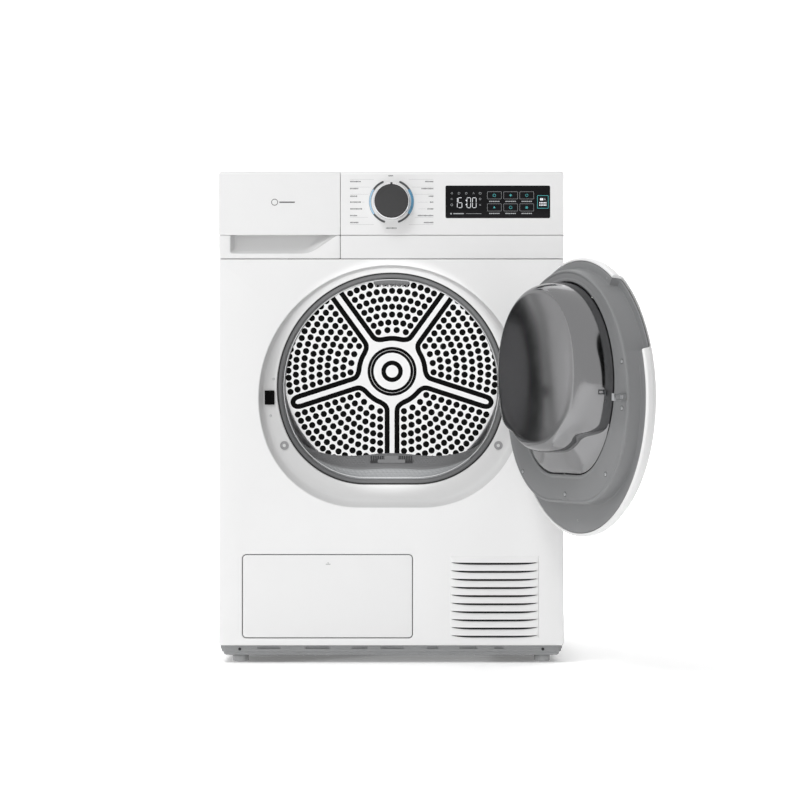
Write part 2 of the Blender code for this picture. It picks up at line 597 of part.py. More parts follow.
def make_bulkhead():
    """The moulding between the front and the drum: a short tube, a round wall and the filter's slot."""
    wall_r, wall_y = 0.266, 0.084
    around = circle(wall_r, OUTLINE_POINTS, (0.0, DRUM_Z), 0.5)
    rim = [(x, TUBE_Y1, z) for x, z in around]
    rings = [flat_disc(TUBE_FRONT, TUBE_Y0), flat_disc(TUBE_BACK, TUBE_Y1), rim, moved(rim, wall_y),
             flat_disc(TUBE_BACK, wall_y, 0.0060), flat_disc(TUBE_FRONT, TUBE_Y0, 0.0020)]
    bulkhead = piece("front_bulkhead", lofted(rings, looped=True), GREY, CABINET)
    cut(bulkhead, block((-0.1080, 0.0580, 0.2900), (0.1080, 0.0820, 0.3360)))
    duct = piece("filter_duct", block((-0.1200, 0.0530, 0.1860), (0.1200, 0.0832, 0.2990)), LIGHT_GREY, CABINET)
    cut(duct, block((-0.1160, 0.0560, 0.1700), (0.1160, 0.0810, 0.3200)))
    seal = [(0.2480, 0.0884), (0.2640, 0.0884), (0.2640, DRUM_FRONT_Y - GAP), (0.2480, DRUM_FRONT_Y - GAP)]
    piece("drum_front_seal", turned(seal, (0.0, DRUM_Z), 36), FELT, CABINET)


def tube_bottom(x, y):
    """Height of the bulkhead tube's lower inside at a place across and a depth behind the front."""
    share = (y - TUBE_Y0) / (TUBE_Y1 - TUBE_Y0)
    radius, flat, corner, height = [a + (b - a) * share for a, b in zip(TUBE_FRONT, TUBE_BACK)]
    corner_z = corner - flat
    corner_x = math.sqrt((radius - corner) ** 2 - corner_z ** 2)
    beyond = max(abs(x) - corner_x, 0.0)
    return height + corner_z - math.sqrt(corner ** 2 - beyond ** 2)


def make_filter():
    """The perforated ramp fixed in the opening, and the lint filter that lifts out behind it."""
    half, steps, clear, climb = 0.122, 12, 0.0045, 0.72
    across = [half * (2 * i / steps - 1) for i in range(steps + 1)]

    def strip(y0, y1, thick):
        def top(y):
            lift = climb * (y - TUBE_Y0)
            return [(x, y, tube_bottom(x, y) + clear + lift * (1 - (x / 0.150) ** 2)) for x in across]

        def low(y):
            return [(x, y, z - thick) for x, _, z in top(y)]

        return lofted([top(y0) + low(y0)[::-1], top(y1) + low(y1)[::-1]])

    piece("filter_grille", strip(0.0365, 0.0570, 0.0025), LIGHT_GREY, CABINET)
    axis = empty("filter_axis", (0.0, 0.070, 0.34), CABINET)
    lint = piece("lint_filter", strip(0.0590, 0.0845, 0.0035), LIGHT_GREY, axis)
    bag, bottom, joined = 0.1050, 0.1950, 0.3360
    cut(lint, block((-bag, 0.0610, bottom), (bag, 0.0650, joined - 0.005)), "UNION")
    cut(lint, block((-bag, 0.0750, bottom), (bag, 0.0790, joined)), "UNION")
    cut(lint, block((-bag, 0.0610, bottom - 0.004), (bag, 0.0790, bottom + 0.002)), "UNION")
    cut(lint, block((-0.0250, 0.0640, joined - 0.006), (0.0250, 0.0760, 0.3560)), "UNION")


# ---------------------------------------------------------------- drum and drive


def make_drum():
    """The drum: a shell with an inward front lip, a dished back on a shaft, and three lifters."""
    axis = empty("drum_axis", (0.0, 0.0, DRUM_Z), CABINET)
    centre, outer = (0.0, DRUM_Z), DRUM_R + SHEET
    shell = [(0.246, DRUM_FRONT_Y), (outer, DRUM_FRONT_Y), (outer, DRUM_REAR_Y), (DRUM_R, DRUM_REAR_Y),
             (DRUM_R, DRUM_FRONT_Y + SHEET), (0.246, DRUM_FRONT_Y + SHEET)]
    piece("drum_shell", turned(shell, centre, OUTLINE_POINTS), STEEL, axis)
    back_y = DRUM_BACK_Y
    back = [(0.0150, back_y - 0.0030), (0.0420, back_y - 0.0030), (0.0480, back_y), (DRUM_BACK_R, back_y),
            (DRUM_BACK_R + 0.010, back_y + 0.0090), (DRUM_R - GAP, back_y + 0.0090),
            (DRUM_R - GAP, back_y + 0.0105), (DRUM_BACK_R + 0.009, back_y + 0.0105),
            (DRUM_BACK_R - 0.001, back_y + 0.0015), (0.0150, back_y + 0.0015)]
    piece("drum_back", turned(back, centre, OUTLINE_POINTS), STEEL, axis)
    shaft = [(0.0147, back_y - 0.0020), (0.0147, back_y + 0.0050), (0.0400, back_y + 0.0050),
             (0.0400, back_y + 0.0090), (0.0120, back_y + 0.0130), (0.0120, REAR_Y + 0.008)]
    piece("drum_shaft", turned(shaft, centre, 18, solid=True), ZINC, axis)
    for i in range(3):
        lifter = [(DRUM_R - 0.0005, -0.034), (DRUM_R - 0.030, -0.020), (DRUM_R - 0.060, -0.007),
                  (DRUM_R - 0.060, 0.007), (DRUM_R - 0.030, 0.020), (DRUM_R - 0.0005, 0.034)]
        lifter = [(r - 0.0030 if abs(t) > 0.03 else r, t) for r, t in lifter]
        a = math.radians(90 + 60 + 120 * i)
        outline = [(r * math.cos(a) - t * math.sin(a), DRUM_Z + r * math.sin(a) + t * math.cos(a))
                   for r, t in lifter]
        piece(f"drum_lifter_{i + 1}", extruded(outline, DRUM_FRONT_Y + 0.030, DRUM_BACK_Y - 0.020, 1),
              LIGHT_GREY, axis)
    bearing = [(0.0123, REAR_Y - 0.012), (0.0200, REAR_Y - 0.012), (0.0210, REAR_Y - 0.003),
               (0.0330, REAR_Y - 0.003), (0.0330, REAR_Y - GAP), (0.0210, REAR_Y - GAP),
               (0.0210, REAR_Y + 0.006), (0.0123, REAR_Y + 0.006)]
    piece("rear_bearing", turned(bearing, centre, 18), BLACK_METAL, CABINET)


def make_rollers():
    """Two rollers under the drum's front edge, each on its own axis."""
    reach = DRUM_R + SHEET + ROLLER_R + GAP
    for name, side in (("drum_roller_left", -1), ("drum_roller_right", 1)):
        a = math.radians(ROLLER_ANGLE_DEG)
        x, z = side * reach * math.sin(a), DRUM_Z - reach * math.cos(a)
        axis = empty(name + "_axis", (x, 0.120, z), CABINET)
        profile = [(0.0045, 0.107), (0.0150, 0.107), (ROLLER_R, 0.110), (ROLLER_R, 0.130), (0.0150, 0.133),
                   (0.0045, 0.133)]
        piece(name, turned(profile, (x, z), 20), RUBBER, axis)


def belt_outline(grow):
    """The belt's path round the drum and the motor's pulley: two arcs and their outer tangents."""
    chord = math.cos(math.pi / BELT_ARC_POINTS)
    big, small = (DRUM_R + SHEET + GAP) / chord + grow, PULLEY_R + GAP + grow
    dx, dz = MOTOR_X, MOTOR_Z - DRUM_Z
    span = math.hypot(dx, dz)
    toward, lean = math.atan2(dz, dx), math.acos((big - small) / span)
    end_points = 6
    sweep = 2 * math.pi - 2 * lean
    points = []
    for i in range(BELT_ARC_POINTS + 1):
        a = toward + lean + sweep * i / BELT_ARC_POINTS
        points.append((big * math.cos(a), DRUM_Z + big * math.sin(a)))
    for i in range(end_points + 1):
        a = toward - lean + 2 * lean * i / end_points
        points.append((MOTOR_X + small * math.cos(a), MOTOR_Z + small * math.sin(a)))
    return points


def make_drive():
    """Motor, belt, pulley shaft, blower and the sprung idler that keeps the belt tight."""
    inner, outer = belt_outline(0.0), belt_outline(BELT_THICK)
    rings = [[(x, y, z) for x, z in points]
             for points, y in ((inner, BELT_Y0), (outer, BELT_Y0), (outer, BELT_Y1), (inner, BELT_Y1))]
    piece("drum_belt", lofted(rings, looped=True), RUBBER, CABINET)

    centre = (MOTOR_X, MOTOR_Z)
    can = [(0.0065, 0.330), (0.0300, 0.330), (0.0320, 0.336), (MOTOR_R, 0.340), (MOTOR_R, 0.452),
           (0.0320, 0.456), (0.0300, 0.460), (0.0065, 0.460)]
    motor = piece("motor", turned(can, centre, 20), BLACK_METAL, CABINET)
    cut(motor, block((MOTOR_X - 0.045, 0.350, 0.024), (MOTOR_X + 0.045, 0.440, MOTOR_Z - 0.050)), "UNION")
    axis = empty("motor_axis", (MOTOR_X, 0.300, MOTOR_Z), CABINET)
    spindle = [(PULLEY_R - 0.001, 0.294), (PULLEY_R + 0.003, 0.295), (PULLEY_R + 0.003, 0.2985), (PULLEY_R, 0.2990),
               (PULLEY_R, 0.3110), (PULLEY_R + 0.003, 0.3115), (PULLEY_R + 0.003, 0.315), (0.0060, 0.316),
               (0.0060, 0.516)]
    piece("motor_pulley", turned(spindle, centre, 16, solid=True), ZINC, axis)
    scroll = [(0.0500, 0.468), (0.0880, 0.468), (0.0880, 0.530), (0.0080, 0.530), (0.0080, 0.5275),
              (0.0855, 0.5275), (0.0855, 0.4705), (0.0500, 0.4705)]
    housing = piece("blower_housing", turned(scroll, centre, 24), GREY, CABINET)
    cut(housing, rod(0.035, 0.520, 0.535, centre, 1, 20))
    cage = [(0.0063, 0.500), (0.0160, 0.500), (0.0160, 0.513), (0.0780, 0.513), (0.0780, 0.516), (0.0063, 0.516)]
    wheel = piece("blower_wheel", turned(cage, centre, 20), BLACK, axis)
    vanes = bmesh.new()
    count = 12
    for i in range(count):
        vane = block((0.058, 0.476, -0.0008), (0.0765, 0.514, 0.0008))
        around = Matrix.Rotation(2 * math.pi * i / count, 4, "Y")
        lean = Matrix.Rotation(math.radians(6), 4, "Y")
        bmesh.ops.transform(vane, matrix=Matrix.Translation((MOTOR_X, 0, MOTOR_Z)) @ around @ lean, verts=vane.verts)
        add(vanes, vane)
    cut(wheel, vanes, "UNION")


def idler_place():
    """Centre of the idler wheel: against the outside of the belt's right-hand run, near the pulley."""
    run = belt_outline(BELT_THICK)
    start, end = Vector(run[BELT_ARC_POINTS]), Vector(run[BELT_ARC_POINTS + 1])
    along = (end - start).normalized()
    outward = Vector((along.y, -along.x))
    point = start.lerp(end, 0.62)
    if (point + outward * 0.1 - Vector((0.0, DRUM_Z))).length < (point - Vector((0.0, DRUM_Z))).length:
        outward = -outward
    return point + outward * (WHEEL_R + GAP)


def make_idler():
    """The belt tensioner: an arm on a pivot, carrying a free wheel."""
    place = idler_place()
    pivot = (place.x + 0.010, place.y - 0.052)
    arm_axis = empty("tensioner_axis", (pivot[0], 0.318, pivot[1]), CABINET)
    lean = math.atan2(place.y - pivot[1], place.x - pivot[0])
    reach = math.hypot(place.x - pivot[0], place.y - pivot[1])
    outline = [(-0.007, -0.007), (reach + 0.006, -0.006), (reach + 0.006, 0.006), (-0.007, 0.007)]
    outline = [(pivot[0] + x * math.cos(lean) - z * math.sin(lean), pivot[1] + x * math.sin(lean) + z * math.cos(lean))
               for x, z in outline]
    arm = piece("tensioner_arm", extruded(outline, 0.3165, 0.3205, 1), ZINC, arm_axis)
    cut(arm, rod(0.0040, 0.2960, 0.3180, (place.x, place.y), 1), "UNION")
    wheel_axis = empty("tensioner_wheel_axis", (place.x, 0.305, place.y), CABINET)
    profile = [(0.0043, 0.2975), (WHEEL_R, 0.2975), (WHEEL_R, 0.3125), (0.0043, 0.3125)]
    piece("tensioner_wheel", turned(profile, (place.x, place.y), 18), BLACK, wheel_axis)


def make_cord_gland():
    """The gland in the rear panel that the mains lead comes out of."""
    profile = [(0.0045, REAR_Y - 0.006), (0.0110, REAR_Y - 0.006), (0.0110, REAR_Y - GAP), (0.0080, REAR_Y - GAP),
               (0.0080, REAR_Y + SHEET + GAP), (0.0110, REAR_Y + SHEET + GAP), (0.0090, REAR_Y + 0.012),
               (0.0045, REAR_Y + 0.012)]
    piece("cord_gland", turned(profile, (-0.250, 0.780), 14), BLACK, CABINET)


# ---------------------------------------------------------------- door


def make_door():
    """The door, built closed and carried open by its hinge empty."""
    axis = empty("door_hinge_axis", (HINGE_X, HINGE_Y, DOOR_Z), CABINET, DOOR_OPEN_DEG)
    centre = (0.0, DOOR_Z)

    skin = [(0.1660, -0.0350), (0.2010, -0.0305), (0.2200, -0.0240), (DOOR_RADIUS, -0.0130),
            (DOOR_RADIUS, -0.0040), (0.2270, -0.0010), (0.2240, -0.0010), (0.2240, -0.0040), (0.2272, -0.0060),
            (0.2272, -0.0122), (0.2182, -0.0216), (0.2002, -0.0278), (0.1660, -0.0322)]
    ring = piece("door_outer_ring", turned(skin, centre, OUTLINE_POINTS), WHITE_PLASTIC, axis)
    pane = lofted([
        [(p[0], y, p[1]) for p in circle(r, 36, centre, 0.5)]
        for r, y in ((0.0600, -0.0376), (0.1250, -0.0356), (0.1655, -0.0325),
                     (0.1655, -0.0360), (0.1250, -0.0391), (0.0600, -0.0411))
    ])
    piece("door_window", pane, GLASS, axis)

    rim = [(p[0], -0.0010, p[1]) for p in circle(0.2237, OUTLINE_POINTS, centre, 0.5)]
    skirt = (PLATEAU[0] + 0.0010, PLATEAU[1] + 0.0010, PLATEAU[2], PLATEAU[3])
    lip, thick = 0.0020, 0.0024
    hole = flat_disc(BOWL_BASE, PLATEAU_Y)
    rings = [rim, flat_disc(skirt, -0.0010), flat_disc(PLATEAU, PLATEAU_Y - lip),
             flat_disc(PLATEAU, PLATEAU_Y, -lip), hole, moved(hole, PLATEAU_Y - thick),
             flat_disc(PLATEAU, PLATEAU_Y - thick, -lip - 0.001), flat_disc(PLATEAU, PLATEAU_Y - lip - thick, -thick),
             flat_disc(skirt, -0.0010 - thick, -thick), moved(rim, -0.0010 - thick)]
    frame = piece("door_inner_frame", lofted(rings, looped=True), GREY, axis)

    half = LUG_Z + 0.0120
    for obj, deep in ((ring, -0.0270), (frame, -0.0270)):
        cut(obj, block((0.2030, deep, DOOR_Z - half), (0.2400, 0.0040, DOOR_Z + half)))
    cut_handle(ring, frame)
    make_bowl(axis)
    make_hinge_leaf(axis)


def handle_sector(inner, outer, y0, y1, margin=0.0):
    """A curved block in the free side's upper quarter of the door, where the fingers reach behind it."""
    start, end = math.radians(121.0 + margin), math.radians(160.5 - margin)
    steps = 10
    angles = [start + (end - start) * i / steps for i in range(steps + 1)]
    outline = [(outer * math.cos(a), DOOR_Z + outer * math.sin(a)) for a in angles]
    outline += [(inner * math.cos(a), DOOR_Z + inner * math.sin(a)) for a in reversed(angles)]
    return extruded(outline, y0, y1, 1)


def cut_handle(ring, frame):
    """Opens the rim and the flange for the fingers, and lines the pocket with the inner frame."""
    cut(ring, handle_sector(0.2115, 0.2400, -0.0165, 0.0100))
    cut(frame, handle_sector(0.2090, 0.2229, -0.0160, -0.0020, 0.4), "UNION")
    cut(frame, handle_sector(0.2122, 0.2400, -0.0136, 0.0100, 1.4))


def make_bowl(axis):
    """The deep bowl that faces the drum: a flat face with a round shoulder over a sloping chin."""
    base = flat_disc(BOWL_BASE, 0.0)
    face_low, face_high, face_half = 0.3900, 0.6260, 0.1340
    middle, tall = (face_low + face_high) / 2, (face_high - face_low) / 2
    angles = [2 * math.pi * (i + 0.5) / OUTLINE_POINTS for i in range(OUTLINE_POINTS)]
    face = [(face_half * math.cos(a), 0.0, middle + tall * math.sin(a)) for a in angles]
    stations = [(0.012, -GAP), (0.10, 0.34), (0.32, 0.70), (0.64, 0.92), (1.0, 1.0)]
    depth, thick = BOWL_Y - PLATEAU_Y, 0.0032
    outer = [between(base, face, share, PLATEAU_Y + depth * rise) for share, rise in stations]
    cap = between(base, face, 1.0, BOWL_Y)
    dome = [[(p[0] * s, BOWL_Y + lift, middle + (p[2] - middle) * s) for p in cap]
            for s, lift in ((0.80, 0.0030), (0.45, 0.0058))]
    inner = [between(base, face, share + 0.035, PLATEAU_Y + depth * rise - thick) for share, rise in stations]
    inner_dome = [[(p[0] * s, BOWL_Y - thick + lift, middle + (p[2] - middle) * s) for p in inner[-1]]
                  for s, lift in ((0.80, 0.0030), (0.45, 0.0058))]
    rings = list(reversed(inner_dome)) + list(reversed(inner)) + outer + dome
    piece("door_bowl", lofted(rings), MIRROR, axis)


def make_hinge_leaf(axis):
    """The door's half of the hinge with its pin, and the latch hook on the free side."""
    leaf = piece("hinge_leaf", rounded_block((0.1780, HINGE_Y - 0.0020, DOOR_Z - 0.040),
                                             (HINGE_X, HINGE_Y + 0.0020, DOOR_Z + 0.040), 0.003, 1), ZINC, axis)
    cut(leaf, rod(0.0055, DOOR_Z - 0.0415, DOOR_Z + 0.0415, (HINGE_X, HINGE_Y), 2), "UNION")
    reach = LUG_Z + LUG_HEIGHT / 2 + 0.002
    cut(leaf, rod(HINGE_PIN_R, DOOR_Z - reach, DOOR_Z + reach, (HINGE_X, HINGE_Y), 2), "UNION")

    hook_x0, hook_x1 = -0.2070, -0.2045
    low, high = DOOR_Z - 0.0060, DOOR_Z + 0.0060
    outline = [(hook_x0, PLATEAU_Y + GAP), (hook_x1, PLATEAU_Y + GAP), (hook_x1, 0.0490), (-0.2125, 0.0490),
               (-0.2140, 0.0455), (hook_x0, 0.0450)]
    hook = piece("latch_hook", extruded(outline, low, high, 2), ZINC, axis)
    cut(hook, block((-0.2070, PLATEAU_Y + GAP, low), (-0.1880, PLATEAU_Y + 0.0020, high)), "UNION")


clear_scene()
CABINET = empty("cabinet_frame", (FRAME_X, FRAME_Y, 0.0))
make_base()
make_feet()
make_side("left_side_panel", -1)
make_side("right_side_panel", 1)
make_rear()
make_worktop()
make_front_panel()
make_fascia()
make_knob()
make_tank()
make_flap()
make_exchanger()
make_compressor_bay()
make_recess()
make_recess_fittings()
make_bulkhead()
make_filter()
make_drum()
make_rollers()
make_drive()
make_idler()
make_cord_gland()
make_door()
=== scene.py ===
"""A heat pump clothes dryer with its round door open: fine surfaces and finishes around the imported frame.

Everything is worked out in the cabinet's own coordinates, in metres: X to the right from the middle of the
front, Y back from the front sheet, Z up from the floor. Door pieces are worked out closed and then swung open.
"""

from __future__ import annotations

import json
import logging
import math
from dataclasses import dataclass
from enum import Enum
from typing import Callable, ClassVar, Iterable, Sequence

import bmesh
import bpy
import numpy as np
from mathutils import Matrix, Vector
from mathutils.geometry import delaunay_2d_cdt

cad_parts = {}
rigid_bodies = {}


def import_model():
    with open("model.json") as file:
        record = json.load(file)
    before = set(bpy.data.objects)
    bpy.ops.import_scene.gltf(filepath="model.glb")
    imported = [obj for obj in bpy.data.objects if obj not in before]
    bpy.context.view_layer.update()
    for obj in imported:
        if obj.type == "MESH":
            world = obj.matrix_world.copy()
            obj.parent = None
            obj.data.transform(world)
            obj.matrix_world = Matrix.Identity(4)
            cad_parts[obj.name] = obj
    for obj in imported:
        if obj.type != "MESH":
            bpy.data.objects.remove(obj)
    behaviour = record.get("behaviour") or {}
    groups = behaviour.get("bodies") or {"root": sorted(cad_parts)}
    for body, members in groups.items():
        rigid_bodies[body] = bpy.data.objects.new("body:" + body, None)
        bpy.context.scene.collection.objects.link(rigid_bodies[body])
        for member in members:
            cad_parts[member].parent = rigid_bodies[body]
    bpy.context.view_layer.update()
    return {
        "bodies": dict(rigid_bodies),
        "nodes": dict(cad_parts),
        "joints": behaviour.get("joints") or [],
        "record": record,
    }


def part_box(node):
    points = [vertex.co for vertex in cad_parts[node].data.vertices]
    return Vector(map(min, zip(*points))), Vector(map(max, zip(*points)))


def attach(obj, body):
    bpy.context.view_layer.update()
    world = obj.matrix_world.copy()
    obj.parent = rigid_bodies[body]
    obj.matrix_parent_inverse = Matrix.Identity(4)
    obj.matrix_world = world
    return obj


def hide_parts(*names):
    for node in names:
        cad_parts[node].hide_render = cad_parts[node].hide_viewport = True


LOG = logging.getLogger("dryer")
Array = np.ndarray
Patch = tuple[Array, list[list[int]]]
Place = Callable[[Array, Array, Array], Array]
Pair = tuple[float, float]
Triple = tuple[float, float, float]
Disc = tuple[float, float, float, float]

DOOR_OPEN_DEG = 115.0
DOOR_Z = 0.4585
DRUM_CENTRE: Pair = (0.0, 0.508)
ROUND = 192  # points round a turned shape
MERGE = 2e-6  # points closer than this become one
NOTCH_START, NOTCH_HALF, NOTCH_BLEND = 0.2035, 0.0620, 0.0015  # the hinge's notch in the door's ring
SMALLEST_FACE = 1e-14  # twice a triangle's area, in square metres
PRINT_IN, PRINT_OUT = 0.0002, 0.00012  # how far printed marks reach into the fascia and out of it
RECESS: Disc = (0.2285, 0.1890, 0.170, 0.4575)  # radius, flat below the centre, corner radius, centre's height
FLAP_OPENING: tuple[Pair, Pair] = ((-0.2571, 0.0428), (0.0371, 0.1875))


class Space(Enum):
    """The coordinates a piece is worked out in."""

    CABINET = "cabinet"
    DOOR = "door"


# ------------------------------------------------------------------ finishes


@dataclass(frozen=True)
class Finish:
    """One finish: its colour and gloss, and how its fine surface varies.

    grain is the height of the moulded or sprayed texture in metres and grain_scale its count per metre.
    mottle is how far the colour drifts, wear how far edges go to worn, and stretch draws the texture out.
    coat is the clear coat's weight, glow the light it gives off, and shine its specular level.
    """

    COAT_ROUGHNESS: ClassVar[float] = 0.06
    BUMP_STRENGTH: ClassVar[float] = 0.6

    name: str
    slot: str
    colour: Triple
    roughness: float
    metallic: float = 0.0
    grain: float = 0.00002
    grain_scale: float = 900.0
    mottle: float = 0.02
    wear: float = 0.0
    worn: Triple = (0.8, 0.8, 0.8)
    stretch: Triple = (1.0, 1.0, 1.0)
    coat: float = 0.0
    glow: float = 0.0
    shine: float = 0.5

    def material(self) -> bpy.types.Material:
        """Makes the finish's material the first time it is asked for.

        Returns:
            The material, with its Principled shader fed by the shared surface group.
        """
        made = bpy.data.materials.get(self.name)
        if made:
            return made
        made = bpy.data.materials.new(self.name)
        made.use_nodes = True
        tree = made.node_tree
        shader = tree.nodes["Principled BSDF"]
        shader.inputs["Metallic"].default_value = self.metallic
        shader.inputs["Coat Weight"].default_value = self.coat
        shader.inputs["Coat Roughness"].default_value = self.COAT_ROUGHNESS
        shader.inputs["Specular IOR Level"].default_value = self.shine
        place = tree.nodes.new("ShaderNodeTexCoord")
        turn = tree.nodes.new("ShaderNodeMapping")
        turn.inputs["Scale"].default_value = self.stretch
        group = tree.nodes.new("ShaderNodeGroup")
        group.node_tree = surface_group()
        values = {
            "Colour": (*self.colour, 1.0), "Worn Colour": (*self.worn, 1.0), "Roughness": self.roughness,
            "Grain Scale": self.grain_scale, "Mottle": self.mottle, "Wear": self.wear,
        }
        for socket, value in values.items():
            group.inputs[socket].default_value = value
        bump = tree.nodes.new("ShaderNodeBump")
        bump.inputs["Strength"].default_value = self.BUMP_STRENGTH
        bump.inputs["Distance"].default_value = self.grain
        link = tree.links.new
        link(place.outputs["Object"], turn.inputs["Vector"])
        link(turn.outputs["Vector"], group.inputs["Vector"])
        link(group.outputs["Colour"], shader.inputs["Base Color"])
        link(group.outputs["Roughness"], shader.inputs["Roughness"])
        link(group.outputs["Height"], bump.inputs["Height"])
        link(bump.outputs["Normal"], shader.inputs["Normal"])
        if self.glow:
            link(group.outputs["Colour"], shader.inputs["Emission Color"])
            shader.inputs["Emission Strength"].default_value = self.glow
        return made


def surface_group() -> bpy.types.NodeTree:
    """Builds the shader group that every finish shares, once.

    Colour drifts with a broad noise and goes to the worn colour on sharp convex edges, roughness drifts with
    the same broad noise and a smear noise, and height is a fine noise.

    Returns:
        The node group.
    """
    made = bpy.data.node_groups.get("fine_surface")
    if made:
        return made
    made = bpy.data.node_groups.new("fine_surface", "ShaderNodeTree")
    face = made.interface
    kinds = {"Vector": "Vector", "Colour": "Color", "Worn Colour": "Color"}
    for way, names in (("INPUT", ("Vector", "Colour", "Worn Colour", "Roughness", "Grain Scale", "Mottle", "Wear")),
                       ("OUTPUT", ("Colour", "Roughness", "Height"))):
        for name in names:
            face.new_socket(name, in_out=way, socket_type="NodeSocket" + kinds.get(name, "Float"))
    new, link = made.nodes.new, made.links.new
    given, out = new("NodeGroupInput"), new("NodeGroupOutput")

    def noise(scale: float | None, detail: float) -> bpy.types.Node:
        """A noise texture on the given vector, at a fixed scale or at the group's own grain scale."""
        node = new("ShaderNodeTexNoise")
        node.inputs["Detail"].default_value = detail
        link(given.outputs["Vector"], node.inputs["Vector"])
        if scale is None:
            link(given.outputs["Grain Scale"], node.inputs["Scale"])
        else:
            node.inputs["Scale"].default_value = scale
        return node

    def math_node(kind: str, *values: float | bpy.types.NodeSocket) -> bpy.types.NodeSocket:
        """A maths node of that kind. Each value is a number or an output to read."""
        node = new("ShaderNodeMath")
        node.operation = kind
        for i, value in enumerate(values):
            if isinstance(value, bpy.types.NodeSocket):
                link(value, node.inputs[i])
            else:
                node.inputs[i].default_value = value
        return node.outputs[0]

    even_edge, edge_gain = 0.53, 9.0
    drift_share, smear_share = 0.10, 0.06
    grain, broad, smear = noise(None, 2.0), noise(7.0, 3.0), noise(45.0, 4.0)
    drift = math_node("SUBTRACT", broad.outputs["Fac"], 0.5)
    fine = math_node("SUBTRACT", grain.outputs["Fac"], 0.5)
    both = math_node("ADD", drift, math_node("MULTIPLY", fine, 0.5))
    value = math_node("MULTIPLY_ADD", both, given.outputs["Mottle"], 1.0)
    tone = new("ShaderNodeHueSaturation")
    link(given.outputs["Colour"], tone.inputs["Color"])
    link(value, tone.inputs["Value"])
    pointed = new("ShaderNodeNewGeometry").outputs["Pointiness"]
    edge = math_node("MULTIPLY", math_node("SUBTRACT", pointed, even_edge), edge_gain)
    patchy = math_node("MULTIPLY", edge, smear.outputs["Fac"])
    worn = math_node("MULTIPLY", patchy, given.outputs["Wear"])
    held = new("ShaderNodeClamp")
    link(worn, held.inputs["Value"])
    mix = new("ShaderNodeMix")
    mix.data_type = "RGBA"
    link(held.outputs[0], mix.inputs[0])
    link(tone.outputs["Color"], mix.inputs[6])
    link(given.outputs["Worn Colour"], mix.inputs[7])
    link(mix.outputs[2], out.inputs["Colour"])
    rough = math_node("MULTIPLY_ADD", drift, drift_share, given.outputs["Roughness"])
    smudge = math_node("MULTIPLY_ADD", math_node("SUBTRACT", smear.outputs["Fac"], 0.5), smear_share, rough)
    link(smudge, out.inputs["Roughness"])
    link(grain.outputs["Fac"], out.inputs["Height"])
    return made


ENAMEL = Finish("white_enamel_coat", "white_enamel", (0.80, 0.80, 0.80), 0.36, grain=0.00003, grain_scale=420,
                mottle=0.012, coat=0.15)
WHITE = Finish("white_moulding", "white_plastic", (0.785, 0.785, 0.785), 0.45, grain=0.00002, mottle=0.012)
# Greyer than the white moulding of the same plastic: partly the bezel's own grey tone, partly painted shade for the
# recess and the drawer's scoop.
BEZEL_GREY_AND_PAINTED_SHADE = Finish("bezel_grey_and_painted_shade", "white_plastic", (0.62, 0.62, 0.62), 0.45, grain=0.00001, mottle=0.015)
PALE = Finish("pale_grey_moulding", "light_grey_plastic", (0.50, 0.505, 0.51), 0.5, grain=0.00004, mottle=0.04)
SIEVE = Finish("sieve_grey_moulding", "light_grey_plastic", (0.235, 0.24, 0.245), 0.5, grain=0.00003, mottle=0.08)
GREY = Finish("mid_grey_moulding", "grey_plastic", (0.205, 0.208, 0.212), 0.46, grain=0.00004, mottle=0.05,
              wear=0.10, worn=(0.42, 0.42, 0.43))
TRAY = Finish("tray_grey_moulding", "grey_plastic", (0.30, 0.305, 0.31), 0.55, grain=0.00006, mottle=0.06)
RING = Finish("opening_ring_moulding", "grey_plastic", (0.105, 0.106, 0.108), 0.42, grain=0.00003, mottle=0.05)
# Black moulding for real black parts, and painted shade behind the louvres, in the hinge slots and in the tray's screw
# holes.
BLACK = Finish("black_moulding_and_painted_shade", "black_plastic", (0.012, 0.012, 0.013), 0.45, grain=0.00004, mottle=0.1)
# Dead black with no shine: painted shade behind the drum's back and in the latch slot, and the studio's dark card.
VOID = Finish("dead_black_card_and_painted_shade", "black_plastic", (0.006, 0.006, 0.006), 0.9, mottle=0.1, grain=0.0, shine=0.0)
SCREEN = Finish("screen_black_glass", "black_glass", (0.004, 0.004, 0.005), 0.12, mottle=0.1, grain=0.0, shine=0.15)
WINDOW = Finish("door_smoked_glass", "black_glass", (0.012, 0.012, 0.014), 0.06, mottle=0.1, grain=0.0, coat=1.0)
BOWL = Finish("bowl_mirror_coat", "smoked_mirror", (0.27, 0.27, 0.275), 0.12, metallic=1.0, mottle=0.03, grain=0.0)
STEEL = Finish("brushed_drum_steel", "stainless_steel", (0.62, 0.62, 0.63), 0.34, metallic=1.0, mottle=0.10,
               grain=0.00003, grain_scale=260, stretch=(1.0, 0.05, 1.0))
# Satin steel given a near-white colour without metal so the drum's back reads brightly lit: partly the steel's own pale
# tone, partly painted sheen.
PLATE_PAINTED_SHEEN = Finish("drum_back_steel_painted_sheen", "stainless_steel", (0.88, 0.88, 0.88), 0.55, mottle=0.03,
               grain=0.00002, grain_scale=300, stretch=(1.0, 1.0, 0.15))
ZINC = Finish("zinc_plated_steel", "zinc_steel", (0.50, 0.51, 0.52), 0.38, metallic=1.0, mottle=0.22,
              grain=0.00002, grain_scale=160, wear=0.2, worn=(0.75, 0.75, 0.76))
FINS = Finish("mill_aluminium", "aluminium", (0.70, 0.71, 0.72), 0.36, metallic=1.0, mottle=0.12,
              grain_scale=500, stretch=(1.0, 0.1, 1.0))
KNOB = Finish("knob_graphite", "dark_knob", (0.035, 0.035, 0.036), 0.42, mottle=0.05, grain_scale=1400,
              stretch=(0.25, 1.0, 1.0))
